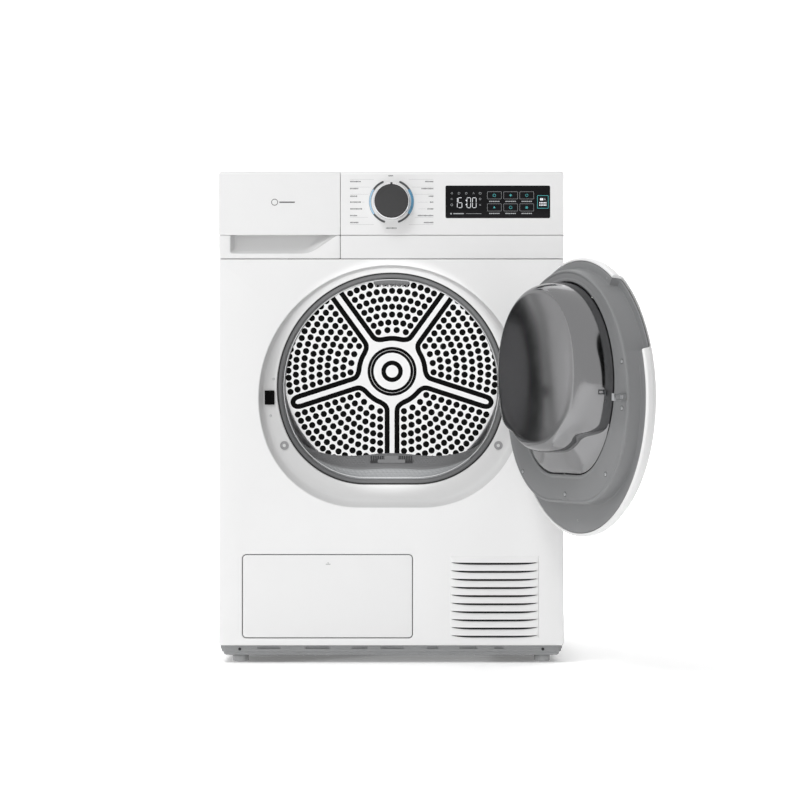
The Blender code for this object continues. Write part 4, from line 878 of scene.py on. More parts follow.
@dataclass
class Controls:
    """The control panel: fascia, drawer front with its scoop, programme dial and display."""

    shop: Workshop
    left: float = -0.2975
    split: float = -0.0882
    right: float = 0.2975
    low: float = 0.6978
    step: float = 0.7378
    high: float = 0.8460
    front: float = -0.006
    knob: Pair = (0.0003, 0.7956)
    glass: tuple[Pair, Pair] = ((0.0933, 0.7670), (0.2737, 0.8232))

    def build(self) -> None:
        """Makes the fascia, the drawer, the dial and the display."""
        self.fascia()
        self.drawer()
        self.dial()
        self.labels()
        self.display()

    def swept(self, corners: Sequence[Pair], x0: float, x1: float) -> Patch:
        """A section in (y, z) with softened corners, carried along X with its two ends slightly eased."""
        ring = np.array([(0.0, y, z) for y, z in corners])
        section = softened(ring[:, None, :], 0.0010, 4, looped=True)[:, 0, :]
        middle = section.mean(0)
        rings = []
        for x, ease in ((x0, 0.0006), (x0 + 0.0003, 0.0002), (x0 + 0.0008, 0.0), (x1 - 0.0008, 0.0),
                        (x1 - 0.0003, 0.0002), (x1, 0.0006)):
            away = section - middle
            size = np.linalg.norm(away, axis=1, keepdims=True)
            shrunk = middle + away * (1 - ease / np.maximum(size, 1e-6))
            shrunk[:, 0] = x
            rings.append(shrunk)
        return skin(np.stack(rings))

    def fascia(self) -> None:
        """The fixed moulding on the right: a lower band that leans out to the step, and a flat upper field."""
        s = self.step
        section = [(0.0118, self.low), (-0.0010, self.low), (-0.0048, s - 0.0008), (-0.0018, s - 0.0004),
                   (-0.0018, s + 0.0001), (-0.0058, s + 0.0005), (-0.0060, s + 0.0018), (-0.0060, self.high - 0.0030),
                   (-0.0040, self.high), (0.0118, self.high)]
        self.shop.piece("fascia_moulding", self.swept(section, self.split + 0.0009, self.right), WHITE, "cabinet",
                        ["control_fascia"], sharp=30)

    def drawer(self) -> None:
        """The drawer front in four parts: upper field, lower band with the scoop's hole, basin, and a blank badge."""
        s, x0, x1 = self.step, self.left, self.split
        field = [(-0.0032, s + 0.0002), (-0.0058, s + 0.0002), (-0.0060, s + 0.0016), (-0.0060, self.high - 0.0030),
                 (-0.0040, self.high), (0.0118, self.high), (0.0118, s + 0.0125), (-0.0032, s + 0.0110)]

        def band(x: Array, z: Array, depth: Array) -> Array:
            """The band's plane leans out from 1 mm at the bottom to 4.8 mm at the step."""
            lean = -0.0010 - 0.0038 * (z - self.low) / (s - self.low)
            return np.stack([x, lean + depth, z], -1)

        top = s - 0.0002
        edge = np.array([(x0, self.low), (x1, self.low), (x1, top), (-0.0935, top), (-0.1400, 0.7062),
                         (-0.2778, 0.7062), (-0.2778, top), (x0, top)])
        notched = self.eased(edge, (0.0022, 0.0022, 0.0022, 0.0022, 0.0160, 0.0050, 0.0022, 0.0022))
        lower = plate(notched, [], rolled(0.0007, 0.0030, 3), band)
        corners = np.array([(-0.0920, s + 0.0008), (-0.2778, s + 0.0008), (-0.2778, 0.7062), (-0.1400, 0.7062)])
        mouth = anticlockwise(self.eased(corners, (0.0010, 0.0006, 0.0050, 0.0160)))
        back = np.array([(-0.1180, s + 0.0095), (-0.2700, s + 0.0095), (-0.2700, 0.7115), (-0.1480, 0.7115)])
        deep = anticlockwise(self.eased(back, (0.006, 0.006, 0.006, 0.016)))
        under = np.array([(-0.1050, s + 0.0060), (-0.2740, s + 0.0060), (-0.2740, 0.7085), (-0.1430, 0.7085)])
        mid = anticlockwise(self.eased(under, (0.006, 0.006, 0.006, 0.016)))
        mouth_3d = band(mouth[:, 0], mouth[:, 1], np.full(len(mouth), 0.0012))
        chain = softened([mouth_3d, upright(mid, 0.0035), upright(deep, 0.0102),
                          upright(deep.mean(0) + (deep - deep.mean(0)) * 0.55, 0.0106)], 0.0050, 6)
        basin = skin(chain, caps=False)
        floor = list(range(len(basin[0]) - len(mouth), len(basin[0])))
        basin = (basin[0], basin[1] + [floor])
        self.shop.piece("drawer_front", joined([self.swept(field, x0, x1), lower]), WHITE, "tank",
                        ["tank_front"], sharp=30)
        # The scoop's basin takes the greyed bezel finish: partly painted shade in the hollow under the lip.
        self.shop.piece("drawer_scoop", basin, BEZEL_GREY_AND_PAINTED_SHADE, "tank", sharp=60, wall=-0.0010)
        ring = [(0.0058, -0.0059), (0.0058, -0.00625), (0.0047, -0.00625), (0.0047, -0.0059)]
        badge = [turned(ring, (-0.2010, 0.7945), 0.0, steps=64),
                 bar(-0.1930, -0.1660, 0.7934, 0.7956, -0.0059, -0.00625, 0.0011)]
        self.shop.piece("drawer_badge_blank", joined(badge), INK, "tank")
        tub = np.array([(-0.2850, 0.8260), (-0.2850, 0.7180), (-0.2250, 0.7260), (-0.1750, 0.7520),
                        (-0.1000, 0.7890), (-0.1000, 0.8260)])
        outer = softened(tub[:, None, :], 0.006, 4, looped=True)[:, 0, :]
        rings = [upright(outer, y) for y in (0.0122, 0.0160, 0.4660, 0.4700)]
        rings[-1][:, 0] = -0.19 + (rings[-1][:, 0] + 0.19) * 0.985
        lid = [bar(-0.283, -0.102, 0.8240, 0.8262, y, y + 0.003) for y in np.arange(0.06, 0.45, 0.05)]
        self.shop.piece("tank_tub", joined([skin(np.stack(rings))] + lid), PALE, "tank", ["water_tank"], sharp=40)

    @staticmethod
    def eased(corners: Array, radii: Sequence[float], steps: int = 10) -> Array:
        """A polygon whose corners give way to quadratic curves, each with its own reach, and split long sides."""
        t = np.linspace(0, 1, steps + 1)[:, None]
        out = []
        for here, before, after, reach in zip(corners, np.roll(corners, 1, 0), np.roll(corners, -1, 0), radii):
            p = here + (before - here) / np.linalg.norm(before - here) * reach
            q = here + (after - here) / np.linalg.norm(after - here) * reach
            out.append((1 - t) ** 2 * p + 2 * t * (1 - t) * here + t ** 2 * q)
        return np.concatenate(out)

    def dial(self) -> None:
        """The programme dial: bright rim, domed graphite cap, pointer, and the arcs round it."""
        y = self.front
        rim = [(0.0314, y - 0.0006), (0.0315, -0.0190), (0.0310, -0.0252), (0.0289, -0.0256), (0.0284, -0.0225),
               (0.0200, -0.0222), (0.0200, y - 0.0006)]
        self.shop.piece("dial_rim", turned(rim, self.knob, 0.0009), RIM, "knob", ["knob_rim"], sharp=40)
        r = np.linspace(0, 1, 14)
        dome = [(0.0279, -0.0226), (0.0281, -0.0258)]
        dome += [(0.0276 * (1 - t) + 0.0002, -0.0262 - 0.0013 * math.sin(t * math.pi / 2)) for t in r]
        self.shop.piece("dial_cap", turned(dome, self.knob, 0.0, looped=False), KNOB, "knob", ["knob_cap"], sharp=40)
        cx, cz = self.knob
        mark = bar(cx - 0.0019, cx + 0.0019, cz + 0.0268, cz + 0.0318, -0.0257, -0.0180, 0.0006)
        self.shop.piece("dial_pointer", mark, BLACK, "knob")
        wide = [(114.0, 250.0), (-70.0, 66.0)]
        dark = [self.arc(0.0352, 0.0386, a, b, -0.0068) for a, b in wide]
        plinth = turned([(0.0335, y + 0.0005), (0.0335, y - 0.0005), (0.0326, y - 0.0008), (0.0300, y - 0.0008),
                         (0.0300, y + 0.0005)], self.knob, 0.0002)
        self.shop.piece("dial_arcs_dark", joined(dark), ARC_DARK, "cabinet", ["selector_light_ring"], sharp=40)
        self.shop.piece("dial_plinth", plinth, WHITE, "cabinet", sharp=40)
        self.shop.piece("dial_arc_left", self.arc(0.0356, 0.0382, 148.0, 214.0, -0.0073), ARC_BLUE, "cabinet")
        self.shop.piece("dial_arc_right", joined([self.arc(0.0340, 0.0362, -33.0, 33.0, -0.0073),
                                                  self.arc(0.0366, 0.0382, -33.0, 33.0, -0.0073)]), ARC_DEEP, "cabinet")

    def arc(self, r0: float, r1: float, start: float, end: float, y: float) -> Patch:
        """A raised band between two radii and two angles round the dial, with half-round ends."""
        a = np.radians(np.linspace(start, end, 72))
        mid, wide = (r0 + r1) / 2, (r1 - r0) / 2
        t = np.linspace(0, math.pi, 9)[1:-1]

        def end_round(angle: float, way: float) -> Array:
            """Half a turn from the outer edge to the inner edge, past the arc's end."""
            along, across = mid + wide * np.cos(t), way * wide * np.sin(t) / mid
            return np.stack([along * np.cos(angle + across), along * np.sin(angle + across)], 1)

        loop = np.concatenate([
            np.stack([r1 * np.cos(a), r1 * np.sin(a)], 1), end_round(a[-1], 1.0),
            np.stack([r0 * np.cos(a[::-1]), r0 * np.sin(a[::-1])], 1), end_round(a[0], -1.0)[::-1],
        ]) + np.array(self.knob)
        return skin(np.stack([upright(loop, self.front + 0.0003), upright(loop, y + 0.0002),
                              upright(offset(loop, 0.0002), y)]))

    def labels(self) -> None:
        """Generic print round the dial: hairlines, and short dashes in place of words."""
        y0, y1 = self.front + PRINT_IN, self.front - PRINT_OUT
        rows = [0.8301, 0.8179, 0.8048, 0.7946, 0.7830, 0.7715, 0.7595]
        lines = [(0.8339, 0.030), (0.8205, 0.036), (0.8082, 0.040), (0.7946, 0.046), (0.7830, 0.046),
                 (0.7685, 0.040), (0.7562, 0.030)]
        words = ((0.0200, 0.0165, 0.0130, 0.0190, 0.0225, 0.0130, 0.0150),
                 (0.0165, 0.0225, 0.0090, 0.0080, 0.0110, 0.0290, 0.0180))
        hair, ink = [], []
        for i, (row, (line, near)) in enumerate(zip(rows, lines)):
            for side, reach in ((-1, 0.0712), (1, 0.0726)):
                size = words[0 if side < 0 else 1][i]
                under = i in (3, 4)
                start = reach - size - 0.002 if under else reach
                hair.append(bar(*sorted((side * near, side * start)), line - 0.00013, line + 0.00013, y0, y1, 0.0001))
                ink += self.dashes(side * reach, row, size, -side, i * 2 + (side > 0))
        ink += self.dashes(-0.0050, 0.8401, 0.0090, 1, 5) + self.dashes(-0.0095, 0.7499, 0.0190, 1, 8)
        self.shop.piece("dial_hairlines", joined(hair), HAIRLINE, "cabinet")
        self.shop.piece("dial_dashes", joined(ink), INK, "cabinet")

    def dashes(self, x: float, z: float, size: float, way: int, seed: int) -> list[Patch]:
        """A row of small upright dashes, with lengths that vary by a fixed sum, filling a word's width."""
        pitch = 0.0021
        out = []
        for k in range(int(size / pitch)):
            high = 0.00095 + 0.00030 * ((k * 7 + seed * 3) % 4) / 3
            at = x + way * (k + 0.5) * pitch
            out.append(bar(at - 0.00070, at + 0.00070, z - high, z + high, self.front + PRINT_IN,
                           self.front - PRINT_OUT, 0.0003))
        return out

    def display(self) -> None:
        """The display: black glass, a clock's figures, small generic symbols and seven framed touch fields."""
        y = self.front - 0.0004
        face = plate(rounded_box(*self.glass, 0.0026, 8), [], rolled(0.0005, 0.0034, 3),
                     at_depth(y))
        self.shop.piece("display_glass", face, SCREEN, "cabinet", ["display_window"], sharp=30)
        digits = {"1": "bc", "5": "afgcd", "0": "abcdef"}
        lit: list[Patch] = []
        for figure, x in (("1", 0.1105), ("5", 0.1185), ("0", 0.1335), ("0", 0.1430)):
            lit += self.figure(digits[figure], x, 0.7850, y)
        lit += [self.mark(0.1290, z, 0.0008, 0.0008, y) for z in (0.7905, 0.7975)]
        self.shop.piece("display_figures", joined(lit), LIT_WHITE, "cabinet")
        dim = [self.loop_mark(x, 0.8098, 0.0021, y, n) for x, n in
               ((0.1045, 4), (0.1165, 5), (0.1290, 6), (0.1415, 3), (0.1530, 24))]
        dim += [self.loop_mark(0.1040, z, 0.0020, y, n) for z, n in ((0.8000, 3), (0.7900, 24))]
        dim += [self.loop_mark(0.1530, z, 0.0018, y, n) for z, n in ((0.8000, 24), (0.7900, 4))]
        dim += [self.mark(0.1030, 0.7748, 0.0014, 0.0012, y), self.mark(0.1160, 0.7748, 0.0090, 0.0008, y),
                self.mark(0.1420, 0.7748, 0.0135, 0.00025, y)]
        teal = []
        for row, z in enumerate((0.8063, 0.7855)):
            for col, x in enumerate((0.1775, 0.2056, 0.2333)):
                dim += self.frame_mark(x, z, 0.0122, 0.0064, y, 0.00018)
                teal.append(self.loop_mark(x, z, 0.0026, y, (24, 4, 6, 3, 24, 5)[row * 3 + col]))
                if (row + col) % 2:
                    teal.append(self.mark(x, z, 0.0009, 0.0009, y))
                dim += [self.mark(x + k * 0.0031 - 0.0078, z - 0.0104, 0.0012, 0.0009, y) for k in range(6)]
        teal += self.frame_mark(0.2610, 0.7950, 0.0096, 0.0112, y, 0.0003)
        start = [self.mark(0.2610 + dx, 0.7995, 0.0012, 0.0020, y) for dx in (-0.0036, -0.0008)]
        start += [self.loop_mark(0.2645, 0.7995, 0.0020, y, 3)]
        start += [self.mark(0.2610 + k * 0.0026 - 0.0052, z, 0.0009, 0.0011, y)
                  for k in range(5) for z in (0.7935, 0.7895)]
        self.shop.piece("display_symbols", joined(dim), LIT_DIM, "cabinet")
        self.shop.piece("display_touch_marks", joined(teal), LIT_TEAL, "cabinet")
        self.shop.piece("display_start_marks", joined(start), LIT_WHITE, "cabinet")

    @staticmethod
    def mark(x: float, z: float, half_x: float, half_z: float, y: float) -> Patch:
        """A small printed bar just proud of the glass."""
        return bar(x - half_x, x + half_x, z - half_z, z + half_z, y + 0.0001, y - 0.00008, 0.0003)

    def frame_mark(self, x: float, z: float, half_x: float, half_z: float, y: float, wide: float) -> list[Patch]:
        """A printed frame: a band between two rounded rectangles."""
        outer = rounded_box((x - half_x, z - half_z), (x + half_x, z + half_z), 0.0009, 4)
        return [plate(outer, [offset(outer, wide * 2)], [(0, 0), (0, 0.00016)],
                      at_depth(y - 0.00008))]

    @staticmethod
    def loop_mark(x: float, z: float, radius: float, y: float, corners: int) -> Patch:
        """A small printed polygon ring, or a circle with 24 corners."""
        a = np.arange(corners) * 2 * math.pi / corners + math.pi / 2
        ring = np.stack([np.cos(a), np.sin(a)], 1)
        rings = [upright(np.array([x, z]) + ring * r, at) for r, at in
                 ((radius, y + 0.0001), (radius, y - 0.00008), (radius - 0.0005, y - 0.00008),
                  (radius - 0.0005, y + 0.0001))]
        return skin(np.stack(rings), looped=True)

    @staticmethod
    def figure(segments: str, x: float, z: float, y: float) -> list[Patch]:
        """A seven-segment figure 6 mm wide and 18 mm high: each letter names a lit segment."""
        w, h, t = 0.0032, 0.0086, 0.00042
        where = {"a": (0, 2 * h, w, t), "g": (0, h, w, t), "d": (0, 0, w, t), "b": (w, 1.5 * h, t, h / 2),
                 "c": (w, h / 2, t, h / 2), "f": (-w, 1.5 * h, t, h / 2), "e": (-w, h / 2, t, h / 2)}
        out = []
        for letter in segments:
            dx, dz, hx, hz = where[letter]
            gap = 0.0006
            hx, hz = (hx - gap, hz) if hx > hz else (hx, hz - gap)
            out.append(Controls.mark(x + dx, z + dz, hx, hz, y))
        return out


@dataclass
class Opening:
    """The door's recess, the grey throat behind it, the sieve and the lint filter."""

    shop: Workshop
    edge: Disc = RECESS
    mouth: Disc = (0.1985, 0.1690, 0.150, 0.4762)
    throat_front: Disc = (0.1975, 0.1680, 0.150, 0.4762)
    throat_back: Disc = (0.1880, 0.1690, 0.150, 0.4782)

    def build(self) -> None:
        """Makes the bezel, its fittings, the throat and both sieves."""
        self.bezel()
        self.fittings()
        self.throat()
        self.sieves()

    def bezel(self) -> None:
        """The white dish, its colour greyed partly for painted shade in the recess: a lip under the front sheet, a
        steep round wall, a wide floor and a rolled mouth.
        """
        edge, mouth = flat_disc(self.edge), flat_disc(self.mouth)

        def at(share: float, y: float) -> Array:
            """A ring part of the way from the edge to the mouth."""
            return upright(edge + (mouth - edge) * share, y)

        chain = softened([
            upright(flat_disc(self.edge, 0.0080), 0.0020), upright(flat_disc(self.edge, 0.0004), 0.0018),
            at(0.10, 0.0130), at(0.24, 0.0222), at(0.40, 0.0243), at(0.96, 0.0268), at(1.0, 0.0285), at(1.0, 0.0338),
            upright(flat_disc(self.mouth, 0.0024), 0.0338), upright(flat_disc(self.mouth, 0.0030), 0.0292),
            at(0.30, 0.0268), at(0.05, 0.0160), upright(flat_disc(self.edge, 0.0010), 0.0040),
            upright(flat_disc(self.edge, 0.0080), 0.0040),
        ], 0.0040, 5, looped=True)
        self.shop.piece("recess_bezel", skin(chain, looped=True), BEZEL_GREY_AND_PAINTED_SHADE, "cabinet", ["door_recess"], sharp=50)

    def floor_y(self, x: float, z: float) -> float:
        """Depth of the bezel's floor at a place, by its share of the way from the edge to the mouth."""
        centre = np.array([0.0, (self.edge[3] + self.mouth[3]) / 2])
        d = np.linalg.norm(np.array([x, z]) - centre)
        share = float(np.clip((self.edge[0] - d) / 0.030, 0.4, 1.0))
        return 0.0243 + (0.0268 - 0.0243) * (share - 0.40) / 0.56

    def fittings(self) -> None:
        """Latch slot, small screws, round bumpers, and black bars that paint the shade inside the hinge slots."""
        lx, lz = -0.2110, 0.4580
        y = 0.0224
        outer = rounded_box((lx - 0.0085, lz - 0.0123), (lx + 0.0085, lz + 0.0123), 0.0010, 4)
        inner = rounded_box((lx - 0.0048, lz - 0.0085), (lx + 0.0038, lz + 0.0085), 0.0008, 4)
        frame = plate(outer, [inner], rolled(0.0004, 0.0050, 2), at_depth(y))
        # The back bar and the dead black finish paint the shade inside the latch slot; the frame round it is black too.
        back = bar(lx - 0.0050, lx + 0.0040, lz - 0.0087, lz + 0.0087, y + 0.0010, y + 0.0018)
        self.shop.piece("latch_slot_frame_and_painted_shade", joined([frame, back]), VOID, "cabinet", sharp=30)
        screws = [screw(x, z, self.floor_y(x, z) + 0.0004, 0.0026) for x, z in
                  ((-0.2045, 0.4900), (-0.2095, 0.4265), (0.2045, 0.4380), (0.2045, 0.4790))]
        self.shop.piece("recess_screws", joined(screws), PALE, "cabinet", sharp=50)
        for name, side in (("left", -1), ("right", 1)):
            button = [(0.0001, 0.0236), (0.0040, 0.0236), (0.0046, 0.0242), (0.0060, 0.0242), (0.0069, 0.0236),
                      (0.0074, 0.0244), (0.0074, 0.0262), (0.0001, 0.0262)]
            at = (side * 0.1855, 0.3750)
            self.shop.piece(f"bumper_{name}", turned(button, at, 0.0006, looped=False, steps=64),
                            BUMPER, "cabinet", [f"recess_bumper_{name}"], sharp=50)
            hub = [(0.0001, 0.0234), (0.0024, 0.0232), (0.0030, 0.0238), (0.0030, 0.0242), (0.0001, 0.0242)]
            self.shop.piece(f"bumper_stud_{name}", turned(hub, at, 0.0003, looped=False, steps=32),
                            BEZEL_GREY_AND_PAINTED_SHADE, "cabinet", sharp=50)
        # Black bars where the hinge slots are: painted shade, as the bezel has no openings there.
        slots = [bar(0.2066, 0.2174, z - 0.0070, z + 0.0070, 0.0205, 0.0265) for z in (DOOR_Z - 0.05, DOOR_Z + 0.05)]
        self.shop.piece("hinge_slot_painted_shade", joined(slots), BLACK, "cabinet")

    def throat(self) -> None:
        """The grey throat: a thin black joint, a pale bead, and a cone back to the round wall by the drum."""
        front, back = self.throat_front, self.throat_back
        wall = circle(0.2655, ROUND, DRUM_CENTRE)
        chain = softened([
            upright(flat_disc(front, -0.0012), 0.0306), upright(flat_disc(front, -0.0075), 0.0330),
            upright(flat_disc(front, -0.0085), 0.0380), upright(flat_disc(front, -0.0060), 0.0460),
            upright(flat_disc(back, -0.0030), 0.0700), upright(flat_disc(back), 0.0872), upright(wall, 0.0872),
            upright(wall, 0.0842), upright(flat_disc(back, 0.0060), 0.0842), upright(flat_disc(front, 0.0005), 0.0350),
        ], 0.0030, 4, looped=True)
        self.shop.piece("throat_moulding", skin(chain, looped=True), RING, "cabinet", ["front_bulkhead"], sharp=50)
        joint = [upright(flat_disc(self.mouth, grow), y) for grow, y in
                 ((0.0001, 0.0296), (-0.0022, 0.0300), (-0.0022, 0.0312), (0.0001, 0.0312))]
        self.shop.piece("throat_joint", skin(softened(joint, 0.0004, 2, looped=True), looped=True), RUBBER, "cabinet")
        bead = [upright(flat_disc(front, grow), y) for grow, y in
                ((-0.0098, 0.0390), (-0.0108, 0.0384), (-0.0116, 0.0392), (-0.0104, 0.0400))]
        self.shop.piece("throat_bead", skin(softened(bead, 0.0005, 2, looped=True), looped=True), PALE, "cabinet")
        lip = [bar(-0.031, 0.031, 0.6555, 0.6640, 0.0400, 0.0700, 0.002)]
        lip += [bar(x - 0.0016, x + 0.0016, 0.6515, 0.6560, 0.0400, 0.0600, 0.0008)
                for x in np.linspace(-0.027, 0.027, 9)]
        self.shop.piece("throat_lamp_housing", joined(lip), RING, "cabinet")

    def bottom(self, x: Array, y: Array) -> Array:
        """Height of the throat's lower inside: the corner arc's lower half beyond the flat, by depth."""
        share = (y - 0.0345) / (0.0880 - 0.0345)
        radius, flat, corner, height = [a + (b - a) * share for a, b in zip(self.throat_front, self.throat_back)]
        down = corner - flat
        across = np.sqrt((radius - corner) ** 2 - down ** 2)
        beyond = np.maximum(np.abs(x) - across, 0.0)
        return height + down - np.sqrt(np.maximum(corner ** 2 - beyond ** 2, 0.0))

    def tier(self, y0: float, y1: float, half: float, thick: float, pitch: Pair,
             rows: Pair, high: float) -> Patch:
        """A sieve tier over the throat's floor, covered in small raised dimples.

        Height = throat floor + clearance + climb * depth * (1 - (x / 0.158)^2) + dimple, and each dimple is
        high * max(0, cos(pi u) cos(pi v))^3 in its own staggered cell.

        Args:
            y0: front edge's depth.
            y1: back edge's depth.
            half: half of the width.
            thick: thickness.
            pitch: dimple spacing across and back.
            rows: where along the tier, from 0 to 1, the dimples start and end.
            high: height of a dimple.

        Returns:
            Points and faces, closed all round.
        """
        clear, climb = 0.0052, 0.94
        u, v = np.linspace(-1, 1, 340), np.linspace(0, 1, 44)
        vv, uu = np.meshgrid(v, u, indexing="ij")
        x, y = uu * half, y0 + (y1 - y0) * vv
        base = self.bottom(x, y) + clear + climb * (y - 0.0345) * (1 - (x / 0.158) ** 2)
        row = (y - y0) / pitch[1]
        stagger = 0.5 * (np.floor(row) % 2)
        cell = np.abs(np.cos(math.pi * (x / pitch[0] + stagger))) * np.abs(np.sin(math.pi * row))
        bump = high * np.clip((cell - 0.45) / 0.55, 0, 1) ** 1.2
        zone = smooth((vv - rows[0]) / 0.05) * smooth((rows[1] - vv) / 0.05) * smooth((0.93 - np.abs(uu)) / 0.05)
        top = np.stack([x, y, base + bump * zone - 0.0006 * (1 - smooth((np.minimum(vv, 1 - vv)) / 0.06))], -1)
        low = np.stack([x, y, base - thick], -1)[::-1]
        closed = np.concatenate([top, low])
        patch = skin(closed, looped=True, closed=False)
        rows_total, count = closed.shape[:2]
        sides = [[k * count for k in range(rows_total)], [k * count + count - 1 for k in range(rows_total)][::-1]]
        return patch[0], patch[1] + sides

    def sieves(self) -> None:
        """The fixed sieve in front, and the lint filter that lifts out behind it, with its clip."""
        front = self.tier(0.0365, 0.0570, 0.1375, 0.0022, (0.0078, 0.0046), (0.08, 0.98), 0.0011)
        self.shop.piece("sieve_front", front, SIEVE, "cabinet", ["filter_grille"], sharp=70)
        tier = self.tier(0.0590, 0.0845, 0.1535, 0.0026, (0.0056, 0.0040), (0.22, 0.99), 0.0008)
        bag = [bar(-0.1030, 0.1030, 0.1912, 0.3364, 0.0611, 0.0649, 0.004),
               bar(-0.1030, 0.1030, 0.1912, 0.3492, 0.0751, 0.0789, 0.004),
               bar(-0.1048, 0.1048, 0.1912, 0.1968, 0.0615, 0.0785, 0.001)]
        self.shop.piece("lint_filter_body", joined([tier] + bag), RING, "filter", ["lint_filter"], sharp=70)
        clip = [bar(-0.0240, 0.0240, 0.3440, 0.3500, 0.0645, 0.0755, 0.0015),
                bar(-0.0115, 0.0115, 0.3490, 0.3560, 0.0655, 0.0745, 0.0010)]
        self.shop.piece("lint_filter_clip", joined(clip), RING, "filter", sharp=30)
        combs = [bar(x - 0.0014, x + 0.0014, 0.3450, 0.3565, 0.0650, 0.0700, 0.0006)
                 for side in (-1, 1) for x in side * np.linspace(0.0150, 0.0350, 6)]
        combs += [bar(*sorted((side * 0.0135, side * 0.0370)), 0.3440, 0.3475, 0.0652, 0.0700, 0.0010)
                  for side in (-1, 1)]
        self.shop.piece("lint_filter_combs", joined(combs), BLACK, "filter")


@dataclass
class Drum:
    """The drum's inside: brushed shell, perforated back with its star, and three lifters."""

    shop: Workshop
    centre: Pair = DRUM_CENTRE
    radius: float = 0.280
    back_y: float = 0.482
    plate_r: float = 0.2055
    arms: tuple[float, ...] = (270.0, 342.0, 54.0, 126.0, 198.0)
    rows: tuple[float, ...] = (0.0785, 0.0928, 0.1075, 0.1224, 0.1373, 0.1522, 0.1671, 0.1820, 0.1960)
    hole_r: float = 0.0060
    hole_pitch: float = 0.0134
    plate_thick: float = 0.0011
    groove_half: float = 0.0047
    hub_rings: Disc = (0.0463, 0.0349, 0.0203, 0.0118)
    lifters: int = 3

    def build(self) -> None:
        """Makes the shell, the back and the lifters."""
        r, y0, y1 = self.radius, 0.0953, 0.4998
        shell = [(0.2462, y0), (r + 0.0008, y0), (r + 0.0008, y1), (r, y1), (r, y0 + 0.0020), (0.2462, y0 + 0.0012)]
        self.shop.piece("drum_shell_brushed", turned(shell, self.centre, 0.0006), STEEL, "drum", ["drum_shell"],
                        sharp=40)
        self.back()
        for i in range(self.lifters):
            self.lifter(i)

    def star(self) -> Array:
        """The middle line of the groove round the star: along both flanks of each arm and round its end.

        Between arms the line crosses the hub field on an arc. It is then evened out.
        """
        side, tip, root, hub = 0.0093, 0.1884, 0.0680, 0.0625
        corners = []
        for arm in sorted(self.arms):
            a = math.radians(arm)
            along, across = np.array([math.cos(a), math.sin(a)]), np.array([-math.sin(a), math.cos(a)])
            t = np.linspace(-math.pi / 2, math.pi / 2, 9)
            nose = along * tip + side * (np.cos(t)[:, None] * along + np.sin(t)[:, None] * across)
            b = np.radians(np.linspace(arm + 17.0, arm + 55.0, 9))
            arc = hub * np.stack([np.cos(b), np.sin(b)], 1)
            corners += [along * root - across * side, *nose, along * root + across * side, *arc]
        return evened(np.array(corners), 900, 3)

    def holes(self) -> list[Array]:
        """The air holes: rows of circles in each sector, spread evenly between the arms' grooves."""
        out = []
        keep, sector = 0.0225, 180.0 / len(self.arms)
        for arm in self.arms:
            middle = math.radians(arm + sector)
            for r in self.rows:
                half = math.radians(sector) - math.asin(min(keep / r, 0.99))
                count = int(2 * half * r / self.hole_pitch) + 1
                for a in middle + np.linspace(-half, half, count):
                    out.append(circle(self.hole_r, 14, (r * math.cos(a), r * math.sin(a))))
        return out

    def back(self) -> None:
        """The back: a satin plate cut by the holes, the star groove and the hub's rings, over a dead black sheet and
        disc that paint the shade seen through them.
        """
        line = anticlockwise(self.star())
        cuts = self.holes() + [offset(line, -self.groove_half), offset(line, self.groove_half)[::-1]]
        cuts += [circle(r, 96) for r in self.hub_rings]
        cx, cz = self.centre

        def place(x: Array, z: Array, depth: Array) -> Array:
            """Stands the plate up in the drum, its star field bulging 2 mm towards the front."""
            r = np.hypot(x, z)
            out = 0.0022 * (1 - smooth((r - 0.046) / 0.022))
            return np.stack([cx + x, self.back_y - 0.0004 - out + depth, cz + z], -1)

        patch = plate(circle(self.plate_r, ROUND), cuts, [(0.0, 0.0), (0.0, self.plate_thick)], place)
        self.shop.piece("drum_back_plate", patch, PLATE_PAINTED_SHEEN, "drum", ["drum_back"], sharp=40)
        y = self.back_y
        dish = [(0.2040, y + 0.0004), (0.2085, y + 0.0010), (0.2175, y + 0.0092), (0.2792, y + 0.0092),
                (0.2792, y + 0.0104), (0.2165, y + 0.0104), (0.2075, y + 0.0022), (0.2040, y + 0.0018)]
        self.shop.piece("drum_back_rim", turned(dish, self.centre, 0.0008), STEEL, "drum", sharp=40)
        # Dead black sheet behind the holes and the groove, and a disc behind the hub's rings: painted shade in place of
        # the dark beyond the plate.
        wall = [(0.2038, y + 0.0012), (0.2038, y + 0.0018), (0.0410, y + 0.0018), (0.0410, y + 0.0012)]
        self.shop.piece("drum_back_painted_shade", turned(wall, self.centre, 0.0), VOID, "drum")
        hub = [(0.0400, y - 0.0010), (0.0400, y + 0.0030), (0.0002, y + 0.0030), (0.0002, y - 0.0010)]
        self.shop.piece("drum_hub_painted_shade", turned(hub, self.centre, 0.0, looped=False), VOID, "drum")
        shaft = [(0.0002, y + 0.0034), (0.0385, y + 0.0034), (0.0400, y + 0.0048), (0.0400, y + 0.0078),
                 (0.0385, y + 0.0090), (0.0180, y + 0.0100), (0.0118, y + 0.0130), (0.0118, 0.5450),
                 (0.0108, 0.5460), (0.0002, 0.5460)]
        self.shop.piece("drum_shaft_turned", turned(shaft, self.centre, 0.0008, looped=False), ZINC, "drum",
                        ["drum_shaft"], sharp=40)

